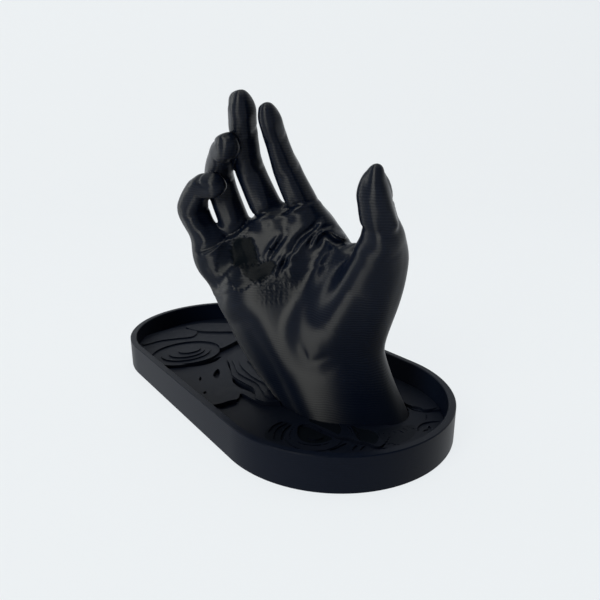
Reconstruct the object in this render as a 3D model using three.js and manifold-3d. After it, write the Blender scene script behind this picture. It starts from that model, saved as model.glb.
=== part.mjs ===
// A hand jewelry stand. An open right hand rises from one end of a long tray with
// round ends. The tray's floor is a separate printed plate with a stepped wood-grain
// relief. The hand stands over a boss of the tray and is screwed from below.
// Millimetres, +Z up. The origin lies on the table under the middle of the tray,
// and +X points to the end that carries the hand.
import * as THREE from 'three';
import { mergeVertices } from 'three/addons/utils/BufferGeometryUtils.js';
import Module from 'manifold-3d';

const wasm = await Module();
wasm.setup();

// The tray
const TRAY_LENGTH = 216;
const TRAY_WIDTH = 110;
const WALL_HEIGHT = 16;
const WALL = 3.3;
const BOTTOM = 1.6;
const EDGE_BREAK = 0.4;
const ROUND_STEPS = 36;

// The feet lie in shallow pockets under the tray and stand a little proud of it
const FOOT_RADIUS = 5;
const FOOT_THICKNESS = 1.1;
const FOOT_PROUD = 0.5;
const FOOT_FROM_END = 33;
const FOOT_FROM_SIDE = 26;

// Clearance between pieces that fit together
const FIT = 0.3;

// The boss under the hand, with a screw on each side of its middle
const BOSS_LENGTH = 34;
const BOSS_WIDTH = 16;
const BOSS_HEIGHT = 9;
const SCREW_SPACING = 20;
const SCREW_RADIUS = 1.9;
const SCREW_LENGTH = 18;
const SCREW_HEAD_RADIUS = 3.6;
const SCREW_HEAD_HEIGHT = 2.2;
const SCREW_HEAD_DEPTH = 3;
const SCREW_DRIVE_RADIUS = 1.5;
const SCREW_DRIVE_DEPTH = 1.2;

// Levels of the relief, above the table
const PIT = 2.9;
const LOW = 3.6;
const PLAIN = 5.3;
const RING = 7;
const PLATEAU = 7.9;
const TERRACE = 0.75;
const RELIEF_TOP = 12;
const KNOT_FROM_END = 57.5;
const KNOT_FROM_SIDE = 28.5;
const SPLINE_STEPS = 2;
const OVAL_STEPS = 22;

// The hand: the palm's width, which every part of the hand follows, its middle line at
// the table, its turn and its lean to one side
const PALM_WIDTH = 74;
const HAND_FROM_END = 58;
const HAND_SIDE = 9;
const HAND_TURN = THREE.MathUtils.degToRad(40);
const HAND_LEAN = THREE.MathUtils.degToRad(25);
const PALM_SIDES = 30;
const PALM_RINGS = 22;
const FINGER_SIDES = 12;
const FINGER_RINGS = 12;
const RIDGE_RINGS = 6;

// The flat on the wrist's little finger side, which leaves the skin between these heights
const BEVEL_FADE_FROM = 60;
const BEVEL_FADE_OVER = 22;
const BEVEL_FADE_RISE = 8;

const trayBottom = FOOT_PROUD;
const trayTop = trayBottom + WALL_HEIGHT;
const floorTop = trayBottom + BOTTOM;
const reliefBottom = floorTop + FIT;
const handX = TRAY_LENGTH / 2 - HAND_FROM_END;
const screwBottom = trayBottom + SCREW_HEAD_DEPTH - SCREW_HEAD_HEIGHT;

// Joining and cutting

function solid(geometry) {
  geometry.deleteAttribute('normal');
  geometry.deleteAttribute('uv');
  const merged = mergeVertices(geometry, 1e-4);
  const index = merged.index.array;
  const faces = [];
  for (let i = 0; i < index.length; i += 3) {
    const [a, b, c] = [index[i], index[i + 1], index[i + 2]];
    if (a !== b && b !== c && c !== a) faces.push(a, b, c);
  }
  return new wasm.Manifold(new wasm.Mesh({
    numProp: 3,
    vertProperties: merged.attributes.position.array,
    triVerts: Uint32Array.from(faces),
  }));
}

function piece(name, body, look) {
  const mesh = body.getMesh();
  const geometry = new THREE.BufferGeometry();
  geometry.setAttribute('position', new THREE.BufferAttribute(mesh.vertProperties, 3));
  geometry.setIndex(new THREE.BufferAttribute(mesh.triVerts, 1));
  const result = new THREE.Mesh(geometry, look);
  result.name = name;
  return result;
}

function prism(shape, bottom, top, steps = ROUND_STEPS) {
  const depth = top - bottom;
  const geometry = new THREE.ExtrudeGeometry(shape, { depth, bevelEnabled: false, curveSegments: steps });
  geometry.translate(0, 0, bottom);
  return solid(geometry);
}

function rod(radius, bottom, top, x = 0, y = 0, sides = 24) {
  const geometry = new THREE.CylinderGeometry(radius, radius, top - bottom, sides);
  geometry.rotateX(Math.PI / 2);
  geometry.translate(x, y, (bottom + top) / 2);
  return solid(geometry);
}

// Looks

const look = {
  print: new THREE.MeshStandardMaterial({ color: '#26292d', roughness: 0.55, metalness: 0 }),
  steel: new THREE.MeshStandardMaterial({ color: '#8d9094', roughness: 0.35, metalness: 1 }),
  rubber: new THREE.MeshStandardMaterial({ color: '#141414', roughness: 0.9, metalness: 0 }),
};

// The tray's outline: two half circles joined by straight sides

function stadium(inset) {
  const radius = TRAY_WIDTH / 2 - inset;
  const reach = (TRAY_LENGTH - TRAY_WIDTH) / 2;
  const shape = new THREE.Shape();
  shape.absarc(reach, 0, radius, -Math.PI / 2, Math.PI / 2, false);
  shape.absarc(-reach, 0, radius, Math.PI / 2, 1.5 * Math.PI, false);
  return shape;
}

function handOval(halfLength, halfWidth, grow = 0) {
  const shape = new THREE.Shape();
  shape.absellipse(handX, HAND_SIDE, halfLength + grow, halfWidth + grow, 0, 2 * Math.PI, false, HAND_TURN);
  return shape;
}

const screwPlaces = [-1, 1].map((side) => ({
  x: handX + side * (SCREW_SPACING / 2) * Math.cos(HAND_TURN),
  y: HAND_SIDE + side * (SCREW_SPACING / 2) * Math.sin(HAND_TURN),
}));

const footPlaces = [
  { name: 'foot_hand_end_near', x: 1, y: -1 },
  { name: 'foot_hand_end_far', x: 1, y: 1 },
  { name: 'foot_tray_end_near', x: -1, y: -1 },
  { name: 'foot_tray_end_far', x: -1, y: 1 },
].map(({ name, x, y }) => ({
  name,
  x: x * (TRAY_LENGTH / 2 - FOOT_FROM_END),
  y: y * (TRAY_WIDTH / 2 - FOOT_FROM_SIDE),
}));

function makeTray() {
  const outer = new THREE.ExtrudeGeometry(stadium(EDGE_BREAK), {
    depth: WALL_HEIGHT - 2 * EDGE_BREAK,
    bevelSize: EDGE_BREAK,
    bevelThickness: EDGE_BREAK,
    bevelSegments: 1,
    curveSegments: ROUND_STEPS,
  });
  outer.translate(0, 0, trayBottom + EDGE_BREAK);
  let body = solid(outer).subtract(prism(stadium(WALL), floorTop, trayTop + 1));
  body = body.add(prism(handOval(BOSS_LENGTH / 2, BOSS_WIDTH / 2), trayBottom + BOTTOM / 2, floorTop + BOSS_HEIGHT));
  for (const { x, y } of screwPlaces) {
    body = body.subtract(rod(SCREW_RADIUS + FIT, trayBottom - 1, floorTop + BOSS_HEIGHT + 1, x, y));
    body = body.subtract(rod(SCREW_HEAD_RADIUS + FIT, trayBottom - 1, trayBottom + SCREW_HEAD_DEPTH, x, y));
  }
  for (const { x, y } of footPlaces) {
    const pocketTop = FOOT_THICKNESS + FIT;
    body = body.subtract(rod(FOOT_RADIUS + FIT, trayBottom - 1, pocketTop, x, y, 32));
  }
  return body;
}

function makeScrew({ x, y }) {
  const headTop = screwBottom + SCREW_HEAD_HEIGHT - FIT;
  let body = rod(SCREW_HEAD_RADIUS, screwBottom - FIT, headTop, x, y);
  body = body.add(rod(SCREW_RADIUS, headTop - 0.5, headTop + SCREW_LENGTH, x, y));
  return body.subtract(rod(SCREW_DRIVE_RADIUS, screwBottom - 1, screwBottom - FIT + SCREW_DRIVE_DEPTH, x, y, 6));
}

function makeFoot({ x, y }) {
  return rod(FOOT_RADIUS, 0, FOOT_THICKNESS, x, y, 32);
}

// The hand, in its own frame: x across the palm to the thumb, y from the palm to the
// back of the hand, z from the wrist to the fingers. It is laid out on the table plane.

// Wrist and palm: the middle of each section, its half width and half thickness, and
// how square it is (2 is an ellipse)
const palmSections = [
  { z: -16, x: 1, y: 0, width: 28.5, depth: 17, square: 2.3 },
  { z: 8, x: 1, y: 0, width: 28.4, depth: 16.5, square: 2.3 },
  { z: 22, x: 0.6, y: 1, width: 30, depth: 15.8, square: 2.3 },
  { z: 36, x: 0, y: 3.5, width: 33, depth: 15.2, square: 2.4 },
  { z: 52, x: -1.5, y: 6.5, width: 36.5, depth: 14.5, square: 2.5 },
  { z: 68, x: -2, y: 10, width: 37, depth: 13, square: 2.6 },
  { z: 84, x: -4, y: 14, width: 35.5, depth: 11, square: 2.6 },
  { z: 96, x: -6, y: 16.5, width: 32.5, depth: 9.2, square: 2.6 },
  { z: 102, x: -7, y: 17.5, width: 27, depth: 6.5, square: 2.4 },
  { z: 105, x: -7, y: 18, width: 19, depth: 3, square: 2.2 },
];

const palmScale = PALM_WIDTH / 2 / Math.max(...palmSections.map(({ width }) => width));
const handPlace = new THREE.Matrix4()
  .makeTranslation(handX, HAND_SIDE, 0)
  .multiply(new THREE.Matrix4().makeRotationZ(HAND_TURN))
  .multiply(new THREE.Matrix4().makeRotationY(-HAND_LEAN))
  .scale(new THREE.Vector3(palmScale, palmScale, palmScale));

// The wrist is flattened on the palm's left: a point of that plane and the way it faces
const bevel = { at: new THREE.Vector3(-16, -12.3, 33), facing: new THREE.Vector3(-0.574, -0.817, 0.055) };

function flatten(point, grow = 0) {
  const fade = THREE.MathUtils.smoothstep(point.z, BEVEL_FADE_FROM, BEVEL_FADE_FROM + BEVEL_FADE_OVER);
  const outside = point.clone().sub(bevel.at).dot(bevel.facing) - BEVEL_FADE_RISE * fade - grow;
  return outside > 0 ? point.addScaledVector(bevel.facing, -outside) : point;
}

// Joins rings of points, all with the same count, to a closed skin with its faces out
function skin(rings) {
  const sides = rings[0].length;
  const points = rings.flat();
  const faces = [];
  for (let r = 0; r + 1 < rings.length; r += 1) {
    for (let s = 0; s < sides; s += 1) {
      const a = r * sides + s;
      const b = r * sides + (s + 1) % sides;
      faces.push(a, b, b + sides, a, b + sides, a + sides);
    }
  }
  const middle = (ring) => ring.reduce((sum, p) => sum.add(p), new THREE.Vector3()).divideScalar(sides);
  points.push(middle(rings[0]), middle(rings.at(-1)));
  const last = (rings.length - 1) * sides;
  for (let s = 0; s < sides; s += 1) {
    const next = (s + 1) % sides;
    faces.push(points.length - 2, next, s);
    faces.push(points.length - 1, last + s, last + next);
  }
  const geometry = new THREE.BufferGeometry().setFromPoints(points);
  geometry.setIndex(faces);
  geometry.applyMatrix4(handPlace);
  return solid(geometry);
}

function palmRing(t, grow) {
  const at = (pick) => {
    const spread = palmSections.map((s, i) => new THREE.Vector3(i, pick(s), 0));
    return new THREE.CatmullRomCurve3(spread).getPoint(t).y;
  };
  const [x, y, z] = [at((s) => s.x), at((s) => s.y), at((s) => s.z)];
  const [width, depth] = [at((s) => s.width) + grow, at((s) => s.depth) + grow];
  const power = 2 / at((s) => s.square);
  const ring = [];
  for (let i = 0; i < PALM_SIDES; i += 1) {
    const angle = 2 * Math.PI * i / PALM_SIDES;
    const [c, s] = [Math.cos(angle), Math.sin(angle)];
    const px = x + width * Math.sign(c) * Math.abs(c) ** power;
    const py = y + depth * Math.sign(s) * Math.abs(s) ** power;
    ring.push(flatten(new THREE.Vector3(px, py, z), grow));
  }
  return ring;
}

function makePalm(rings, reach = 1, grow = 0) {
  const list = [];
  for (let i = 0; i <= rings; i += 1) list.push(palmRing(reach * i / rings, grow));
  return skin(list);
}

// Each finger bends in one plane. splay is its lean to the thumb's side, roll turns the
// bending plane to that side, and bends are those of the knuckle and the two joints.
// radii are at the knuckle, the two joints and the pad of the tip.
const fingers = {
  index: {
    knuckle: [20.5, 15.5, 87.5], splay: -7, roll: 28, bends: [21.5, 21, 6],
    bones: [31, 18, 16], radii: [8.2, 6.3, 5.1, 4.4],
  },
  middle: {
    knuckle: [2.5, 17.5, 92], splay: -9, roll: 44, bends: [20, 29, 7],
    bones: [34, 21, 17.5], radii: [8.4, 6.8, 6.2, 5.1],
  },
  ring: {
    knuckle: [-14.5, 17.5, 96], splay: -1, roll: 40, bends: [12, 54, 18],
    bones: [32, 20, 15], radii: [8, 6.5, 6, 5.3],
  },
  little: {
    knuckle: [-29.5, 15, 92], splay: -20, roll: 62, bends: [23, 56, 46],
    bones: [27.5, 15.5, 15], radii: [7.6, 6.5, 5.9, 5.1],
  },
};

function fingerJoints({ knuckle, splay, roll, bends, bones }) {
  const turn = THREE.MathUtils.degToRad(splay);
  const tilt = THREE.MathUtils.degToRad(roll);
  const along = new THREE.Vector3(Math.sin(turn), 0, Math.cos(turn));
  const side = new THREE.Vector3(Math.cos(turn), 0, -Math.sin(turn));
  const curl = new THREE.Vector3(0, -Math.cos(tilt), 0).addScaledVector(side, Math.sin(tilt));
  const joints = [new THREE.Vector3(...knuckle)];
  let bend = 0;
  bones.forEach((bone, i) => {
    bend += THREE.MathUtils.degToRad(bends[i]);
    const step = along.clone().multiplyScalar(Math.cos(bend)).addScaledVector(curl, Math.sin(bend));
    joints.push(joints.at(-1).clone().addScaledVector(step, bone));
  });
  return { joints, across: new THREE.Vector3().crossVectors(along, curl).normalize() };
}

// A round limb along a smooth line through the joints, with a domed end
function limb(joints, radii, across, steps, flat = 0.92) {
  const line = new THREE.CatmullRomCurve3(joints, false, 'centripetal');
  const sizes = new THREE.CatmullRomCurve3(radii.map((r, i) => new THREE.Vector3(i, r, 0)));
  const stops = [];
  for (let i = 0; i < steps; i += 1) stops.push({ t: i / steps, shrink: 1 });
  const dome = radii.at(-1) / line.getLength();
  for (const angle of [0, 25, 50, 70, 85]) {
    const turn = THREE.MathUtils.degToRad(angle);
    stops.push({ t: 1 - dome * (1 - Math.sin(turn)), shrink: Math.cos(turn) });
  }
  const clear = stops.filter((stop, i) => i >= steps || stop.t < 1 - dome * 1.3);
  return skin(clear.map(({ t, shrink }) => {
    const middle = line.getPointAt(t);
    const along = line.getTangentAt(t);
    const back = new THREE.Vector3().crossVectors(along, across).normalize();
    const width = new THREE.Vector3().crossVectors(back, along).normalize();
    const place = line.getUtoTmapping(t, 0);
    const radius = sizes.getPoint(place).y * shrink;
    const ring = [];
    for (let s = 0; s < FINGER_SIDES; s += 1) {
      const angle = 2 * Math.PI * s / FINGER_SIDES;
      ring.push(middle.clone()
        .addScaledVector(width, radius * Math.cos(angle))
        .addScaledVector(back, radius * flat * Math.sin(angle)));
    }
    return ring;
  }));
}

function makeFinger(finger) {
  const { joints, across } = fingerJoints(finger);
  return limb(joints, finger.radii, across, FINGER_RINGS);
}

// The thumb: its root at the wrist, its two joints and its tip
const thumb = {
  joints: [[16, 2, 24], [37, -5, 49], [51, -13, 66], [56, -24, 86], [61.8, -27.7, 101.4]],
  radii: [9, 11.5, 9.6, 7.6, 4.2],
  across: [0.75, -0.6, -0.3],
};

function makeThumb() {
  const joints = thumb.joints.map((p) => new THREE.Vector3(...p));
  return limb(joints, thumb.radii, new THREE.Vector3(...thumb.across).normalize(), FINGER_RINGS + 2, 0.95);
}

// Pads and bones under the skin: middle, half sizes and turn in the palm's plane
const pads = {
  thumb_ball: { at: [26, 2, 54], size: [20, 12.5, 33], turn: 36 },
  thumb_web: { at: [32, 4, 58], size: [12, 8, 9], turn: 30 },
  index_web: { at: [30, 5, 74.5], size: [9, 9.5, 9] },
  heel: { at: [-17, 5, 48], size: [19, 12.5, 36], turn: -4 },
  heel_top: { at: [-19, 8, 75.5], size: [13, 10.2, 10.5] },
  palm_middle: { at: [4, 1, 41], size: [13, 13.2, 17] },
  index_pad: { at: [20, 10.2, 92], size: [9.5, 5.4, 8] },
  middle_pad: { at: [4, 11.3, 95], size: [9.5, 5.5, 7.5] },
  ring_pad: { at: [-12, 10.7, 94], size: [9, 5.3, 7.5] },
  little_pad: { at: [-27, 9, 92.5], size: [7.5, 4.4, 8.5] },
  index_knuckle: { at: [20.5, 20, 86], size: [7.5, 6, 8] },
  middle_knuckle: { at: [2.5, 22, 90], size: [8, 6.5, 8.5] },
  ring_knuckle: { at: [-14, 21.5, 92], size: [7.5, 6, 7.5] },
  little_knuckle: { at: [-28.5, 18.5, 88], size: [7, 5.5, 7] },
  wrist_bone: { at: [-19, 11, 12], size: [7, 8, 9] },
};

// The palm's hollow, which is cut out, with its tilt toward the wrist
const hollow = { at: [13.5, -4.2, 73.2], size: [8.6, 6.3, 8.4], tilt: 22 };

function makePad({ at, size, turn = 0, tilt = 0 }, grow = 0) {
  const geometry = new THREE.SphereGeometry(1, 16, 10);
  geometry.scale(...size.map((half) => half + grow));
  geometry.rotateX(THREE.MathUtils.degToRad(tilt));
  geometry.rotateY(THREE.MathUtils.degToRad(turn));
  geometry.translate(...at);
  const corners = geometry.attributes.position;
  for (let i = 0; i < corners.count; i += 1) {
    const corner = flatten(new THREE.Vector3().fromBufferAttribute(corners, i), grow);
    corners.setXYZ(i, corner.x, corner.y, corner.z);
  }
  geometry.applyMatrix4(handPlace);
  return solid(geometry);
}

// The edge of the thumb's ball and the fold beside it, from the wrist to the thumb's root
const ridges = [
  { joints: [[11, -5, 27], [22, -6, 40.5], [37, -9.2, 55], [47.5, -15.3, 65.5], [57, -25, 78]],
    radii: [5, 7.2, 7.2, 6.6, 5.5] },
  { joints: [[5, -4, 32], [16.5, -6, 46.5], [31.5, -9.4, 60], [44, -15.6, 69.5], [47.7, -17.4, 72.3]],
    radii: [5, 7, 6.8, 5.6, 5] },
];

function makeRidge({ joints, radii }) {
  return limb(joints.map((p) => new THREE.Vector3(...p)), radii, new THREE.Vector3(0, 1, 0), RIDGE_RINGS, 1);
}

function makeHand() {
  let body = makePalm(PALM_RINGS);
  for (const pad of Object.values(pads)) body = body.add(makePad(pad));
  for (const ridge of ridges) body = body.add(makeRidge(ridge));
  body = body.subtract(makePad(hollow));
  for (const finger of Object.values(fingers)) body = body.add(makeFinger(finger));
  body = body.add(makeThumb());
  const below = prism(stadium(0), -60, floorTop + FIT);
  body = body.subtract(below);
  const socketTop = floorTop + BOSS_HEIGHT + FIT;
  body = body.subtract(prism(handOval(BOSS_LENGTH / 2, BOSS_WIDTH / 2, FIT), floorTop - 1, socketTop));
  for (const { x, y } of screwPlaces) {
    const holeTop = screwBottom + SCREW_HEAD_HEIGHT + SCREW_LENGTH + 1;
    body = body.subtract(rod(SCREW_RADIUS + FIT, floorTop, holeTop, x, y));
  }
  return body;
}

// The relief. Each outline gives the plate inside it a level, and a later one covers an
// earlier one. Outlines of the tray's far half are placed from the middle of the knot
// there, the others from the hand.

const knot = { x: -TRAY_LENGTH / 2 + KNOT_FROM_END, y: -TRAY_WIDTH / 2 + KNOT_FROM_SIDE };
const hand = { x: handX, y: HAND_SIDE };

function blob(from, points) {
  const corners = points.map(([x, y]) => new THREE.Vector3(from.x + x, from.y + y, 0));
  const line = new THREE.CatmullRomCurve3(corners, true, 'centripetal');
  const outline = line.getPoints(points.length * SPLINE_STEPS).slice(0, -1);
  return new THREE.Shape(outline.map((p) => new THREE.Vector2(p.x, p.y)));
}

function oval(from, x, y, halfX, halfY, turn = 0) {
  const shape = new THREE.Shape();
  const angle = THREE.MathUtils.degToRad(turn);
  shape.absellipse(from.x + x, from.y + y, halfX, halfY, 0, 2 * Math.PI, false, angle);
  return shape;
}

const reliefPlates = [
  // The far plateau, its two upper steps, and the knot with its rings
  [blob(knot, [[2, 34], [5, 26], [7, 19], [3, 4], [0, -14], [-4, -30], [-24, -26], [-38, -14],
    [-43, 6], [-41, 28], [-30, 46], [-12, 56], [4, 50]]), PLATEAU],
  [blob(knot, [[-20, 14], [-22.5, 4], [-25, -5], [-24.5, -17], [-32, -12], [-37, 2], [-34, 16], [-27, 20]]),
    PLATEAU + TERRACE],
  [blob(knot, [[-8, 46], [-12, 38], [-18.5, 29], [-26.5, 21], [-33, 18], [-39, 18], [-38, 30], [-28, 42], [-16, 50]]),
    PLATEAU + TERRACE * 1.4],
  [oval(knot, 0, 0, 16, 20.5), RING],
  [oval(knot, -0.2, 0, 11.8, 14.8), RING + TERRACE],
  [oval(knot, 0.4, 0.2, 8.4, 10.8), RING + 2 * TERRACE],
  [oval(knot, 0.4, 2, 5, 6.8), RING + 3 * TERRACE],
  // Flowing steps that climb to the hand
  [blob(hand, [[-82, -18.5], [-74.7, -21.7], [-66.7, -24.7], [-58, -28], [-46.4, -27.5], [-39.4, -27],
    [-34, -29], [-28, -32], [-20, -27], [-16, -8], [-28, 10], [-52, 22], [-76, 14], [-88, -4]]), PLAIN + TERRACE],
  [blob(hand, [[-79.4, -15.8], [-69.4, -20.8], [-59.4, -24.3], [-52.4, -24.3], [-41.4, -23.3], [-32.4, -25.8],
    [-24, -27], [-19, -8], [-30, 6], [-52, 16], [-74, 9]]), PLAIN + 2 * TERRACE],
  [blob(hand, [[-76, -12], [-67.8, -18.2], [-57.8, -20.7], [-47.8, -21.6], [-37.8, -21.1], [-29, -22.6],
    [-22, -8], [-32, 3], [-52, 10], [-70, 4]]), PLAIN + 3 * TERRACE],
  [blob(hand, [[-68.3, -12.9], [-61.3, -14.4], [-51.3, -16.9], [-41.3, -18.4], [-28, -19], [-26, -8],
    [-40, 0], [-56, 2], [-66, -4]]), PLAIN + 4 * TERRACE],
  // The low ground round the wrist, with the knot before it
  [blob(hand, [[-39, -34.5], [-35.2, -38.5], [-35.4, -46], [-37, -64], [0, -75], [48, -60], [75, -10],
    [60, 60], [10, 60], [-20, 48], [-34, 30], [-20, 6], [-14, -10], [-24, -31]]), LOW],
  [oval(hand, 12, -28, 13, 12.5, 20), LOW + 0.5 * TERRACE],
  [oval(hand, 12, -28, 8.5, 8, 20), PIT],
  [oval(hand, 12.5, -28.5, 3, 2.6), LOW + 0.5 * TERRACE],
  [blob(hand, [[3, -25], [10, -22], [18, -21], [24, -19], [30, -16], [37, -12], [44, -4], [50, 6], [44, 16],
    [34, 12], [24, 2], [12, -8], [0, -16]]), LOW + 0.8 * TERRACE],
  [blob(hand, [[0, -19], [6, -13], [12, -14], [19, -19], [10, -21]]), LOW],
  [oval(hand, 26.5, -9, 5.5, 4, 10), LOW],
  [blob(hand, [[-14, 52], [0, 34], [11, 27], [16, 25.5], [21, 26], [24, 28], [27, 27.5], [29.5, 31], [32, 40],
    [20, 60]]), LOW + 1.5 * TERRACE],
  // Pits and grooves
  [blob(knot, [[12.8, 16.5], [17.2, 11], [18.6, 5], [17.4, -2.5], [13, -9.5], [14.8, -3], [15.4, 4], [14.2, 10]]), PIT],
  [blob(hand, [[-58.5, -28.2], [-52.7, -31.2], [-44.7, -31.7], [-36.7, -29.7], [-31.7, -30.2], [-39, -27.6],
    [-46.4, -28.2], [-53, -28.8]]), PIT],
  [blob(hand, [[-81.5, -18.7], [-73, -22.8], [-64, -26], [-73.5, -21.6]]), PIT],
  [blob(hand, [[-73, -29.3], [-67.5, -31], [-61.5, -36], [-66.5, -35.8]]), PIT],
  [blob(hand, [[-70, -41.5], [-66.5, -42.6], [-63.5, -45], [-67, -44]]), PIT],
  [oval(hand, -50.6, -48.7, 1.6, 0.9, -35), PIT],
  [blob(hand, [[-34.8, -39.5], [-32.4, -41], [-32.4, -48.5], [-35, -49]]), PIT],
  [blob(hand, [[-7.5, -31.5], [-5.8, -31.5], [3.5, -44.5], [1.5, -45]]), PIT],
  [blob(hand, [[-3.5, -31], [-1.8, -31], [7, -42.5], [5.4, -43.3]]), PIT],
  [blob(hand, [[25.5, -20], [27, -24.5], [25, -29.5], [26.2, -24.5]]), PIT],
  [blob(hand, [[35, 22], [37.5, 27], [39.5, 22.5], [40, 15], [37, 11.5], [34, 18]]), PIT],
];

function makeRelief() {
  const edge = stadium(WALL + FIT);
  const field = prism(edge, reliefBottom, RELIEF_TOP);
  let body = prism(edge, reliefBottom, PLAIN);
  for (const [shape, level] of reliefPlates) {
    body = body.subtract(prism(shape, level, RELIEF_TOP + 1, OVAL_STEPS));
    body = body.add(prism(shape, reliefBottom, level, OVAL_STEPS).intersect(field));
  }
  const nearFloor = [pads.thumb_ball, pads.heel, pads.wrist_bone];
  for (const pad of nearFloor) body = body.subtract(makePad(pad, 2 * FIT));
  return body.subtract(makePalm(6, 0.28, 2 * FIT));
}

// The stand

const stand = new THREE.Group();
stand.add(piece('tray', makeTray(), look.print));
stand.add(piece('relief_floor', makeRelief(), look.print));
stand.add(piece('hand', makeHand(), look.print));
screwPlaces.forEach((place, i) => stand.add(piece(`wrist_screw_${i + 1}`, makeScrew(place), look.steel)));
footPlaces.forEach((place) => stand.add(piece(place.name, makeFoot(place), look.rubber)));

export default stand;
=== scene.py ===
# A hand jewelry stand in black filament print. An open right hand rises from one end of
# a long tray with round ends, and the tray's floor is a separate plate with a stepped
# wood-grain relief. Sizes here are in millimetres, and a mesh is turned to metres last.
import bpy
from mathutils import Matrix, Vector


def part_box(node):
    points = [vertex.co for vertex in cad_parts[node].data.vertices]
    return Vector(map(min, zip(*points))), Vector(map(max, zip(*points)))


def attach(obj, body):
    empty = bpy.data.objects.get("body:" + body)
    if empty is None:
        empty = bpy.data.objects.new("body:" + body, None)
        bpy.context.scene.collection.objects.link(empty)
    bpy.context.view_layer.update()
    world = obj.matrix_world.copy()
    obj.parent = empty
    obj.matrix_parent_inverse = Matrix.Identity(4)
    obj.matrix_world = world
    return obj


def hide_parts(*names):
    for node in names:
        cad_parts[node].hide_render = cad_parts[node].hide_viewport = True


bl_info = {
    "name": "Hand Jewelry Stand",
    "version": (1, 0, 0),
    "blender": (4, 5, 0),
    "location": "View3D > Sidebar > Jewelry Stand",
    "description": "Builds a printed hand on a long tray with a wood-grain relief",
    "category": "Add Mesh",
}

from math import cos, pi, radians, sin

import bpy
import numpy as np
from mathutils import Vector

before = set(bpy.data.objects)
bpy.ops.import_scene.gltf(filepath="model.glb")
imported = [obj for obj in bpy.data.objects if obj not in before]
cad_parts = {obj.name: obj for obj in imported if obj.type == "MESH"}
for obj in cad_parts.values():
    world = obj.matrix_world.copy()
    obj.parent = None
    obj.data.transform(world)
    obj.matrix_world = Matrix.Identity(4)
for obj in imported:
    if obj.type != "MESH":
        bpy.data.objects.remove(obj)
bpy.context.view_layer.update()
MM = 0.001

# Sizes that the frame gives
TRAY_LOW, TRAY_HIGH = (np.array(corner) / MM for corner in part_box("tray"))
RELIEF_LOW, RELIEF_HIGH = (np.array(corner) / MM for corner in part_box("relief_floor"))
FOOT_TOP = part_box("foot_hand_end_far")[1][2] / MM
SCREW_LOW, SCREW_HIGH = (np.array(corner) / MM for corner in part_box("wrist_screw_1"))
FEET = [name for name in sorted(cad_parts) if name.startswith("foot_")]
SCREWS = [name for name in sorted(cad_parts) if name.startswith("wrist_screw_")]

# Sizes that the pieces share
TRAY_LENGTH, TRAY_WIDTH = TRAY_HIGH[0] - TRAY_LOW[0], TRAY_HIGH[1] - TRAY_LOW[1]
ARC_REACH = (TRAY_LENGTH - TRAY_WIDTH) / 2
WALL = 3.3
BOTTOM = 1.6
EDGE_BREAK = 0.4
FIT = 0.3
FLOOR_TOP = TRAY_LOW[2] + BOTTOM
BOSS_LENGTH, BOSS_WIDTH, BOSS_HEIGHT = 34, 16, 9
SCREW_RADIUS, SCREW_HEAD_RADIUS, SCREW_HEAD_HEIGHT = 1.9, 3.6, 1.9
SCREW_RECESS_DEPTH = 3
FOOT_RADIUS = 5
HAND_PLACE = np.array([50, 9, 0.0])
HAND_TURN, HAND_LEAN = radians(40), radians(25)


# Sizes and colours that a user would change


def hex_colour(text):
    """The linear colour of an sRGB hex value."""
    parts = [int(text[i:i + 2], 16) / 255 for i in (1, 3, 5)]
    return tuple(p / 12.92 if p <= 0.04045 else ((p + 0.055) / 1.055) ** 2.4 for p in parts)


class StandSizes(bpy.types.PropertyGroup):
    hand_cell: bpy.props.FloatProperty(
        name="Hand cell", description="Spacing of the hand's surface points, in millimetres",
        default=0.8, min=0.6, max=3)
    relief_cell: bpy.props.FloatProperty(
        name="Relief cell", description="Spacing of the relief's base grid, in millimetres",
        default=0.9, min=0.6, max=3)
    terrace: bpy.props.FloatProperty(
        name="Terrace", description="Height of one grain step, in millimetres",
        default=0.75, min=0.2, max=1.5)
    crease_depth: bpy.props.FloatProperty(
        name="Crease depth", description="Share of the creases' full depth", subtype="FACTOR",
        default=1, min=0, max=1.5)


class StandColours(bpy.types.PropertyGroup):
    filament: bpy.props.FloatVectorProperty(
        name="Filament", description="Colour of the black print", subtype="COLOR",
        default=hex_colour("#050b19"), min=0, max=1)
    scuffed: bpy.props.FloatVectorProperty(
        name="Scuffed print", description="Colour of the print where supports broke off", subtype="COLOR",
        default=hex_colour("#080c11"), min=0, max=1)
    steel: bpy.props.FloatVectorProperty(
        name="Screw steel", description="Colour of the zinc plated screws", subtype="COLOR",
        default=hex_colour("#b4b8bb"), min=0, max=1)
    rubber: bpy.props.FloatVectorProperty(
        name="Foot rubber", description="Colour of the rubber feet", subtype="COLOR",
        default=hex_colour("#1b1b1b"), min=0, max=1)
    backdrop: bpy.props.FloatVectorProperty(
        name="Backdrop", description="Colour of the floor and the backdrop", subtype="COLOR",
        default=hex_colour("#edf1f4"), min=0, max=1)


# Meshes


def put_mesh(name, points, faces, material, replaced, sharp=35):
    """Makes an object from points in millimetres and triangles. It is smooth but for edges
    sharper than an angle in degrees."""
    mesh = bpy.data.meshes.new(name)
    mesh.vertices.add(len(points))
    mesh.vertices.foreach_set("co", (np.asarray(points, float) * MM).astype(np.float32).ravel())
    mesh.loops.add(faces.size)
    mesh.loops.foreach_set("vertex_index", faces.astype(np.int32).ravel())
    mesh.polygons.add(len(faces))
    mesh.polygons.foreach_set("loop_start", np.arange(0, faces.size, 3, dtype=np.int32))
    mesh.update(calc_edges=True)
    mesh.validate()
    mesh.shade_smooth()
    mesh.set_sharp_from_angle(angle=radians(sharp))
    mesh.materials.append(material)
    piece = bpy.data.objects.new(name, mesh)
    bpy.context.scene.collection.objects.link(piece)
    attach(piece, "root")
    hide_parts(replaced)
    return piece


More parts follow.
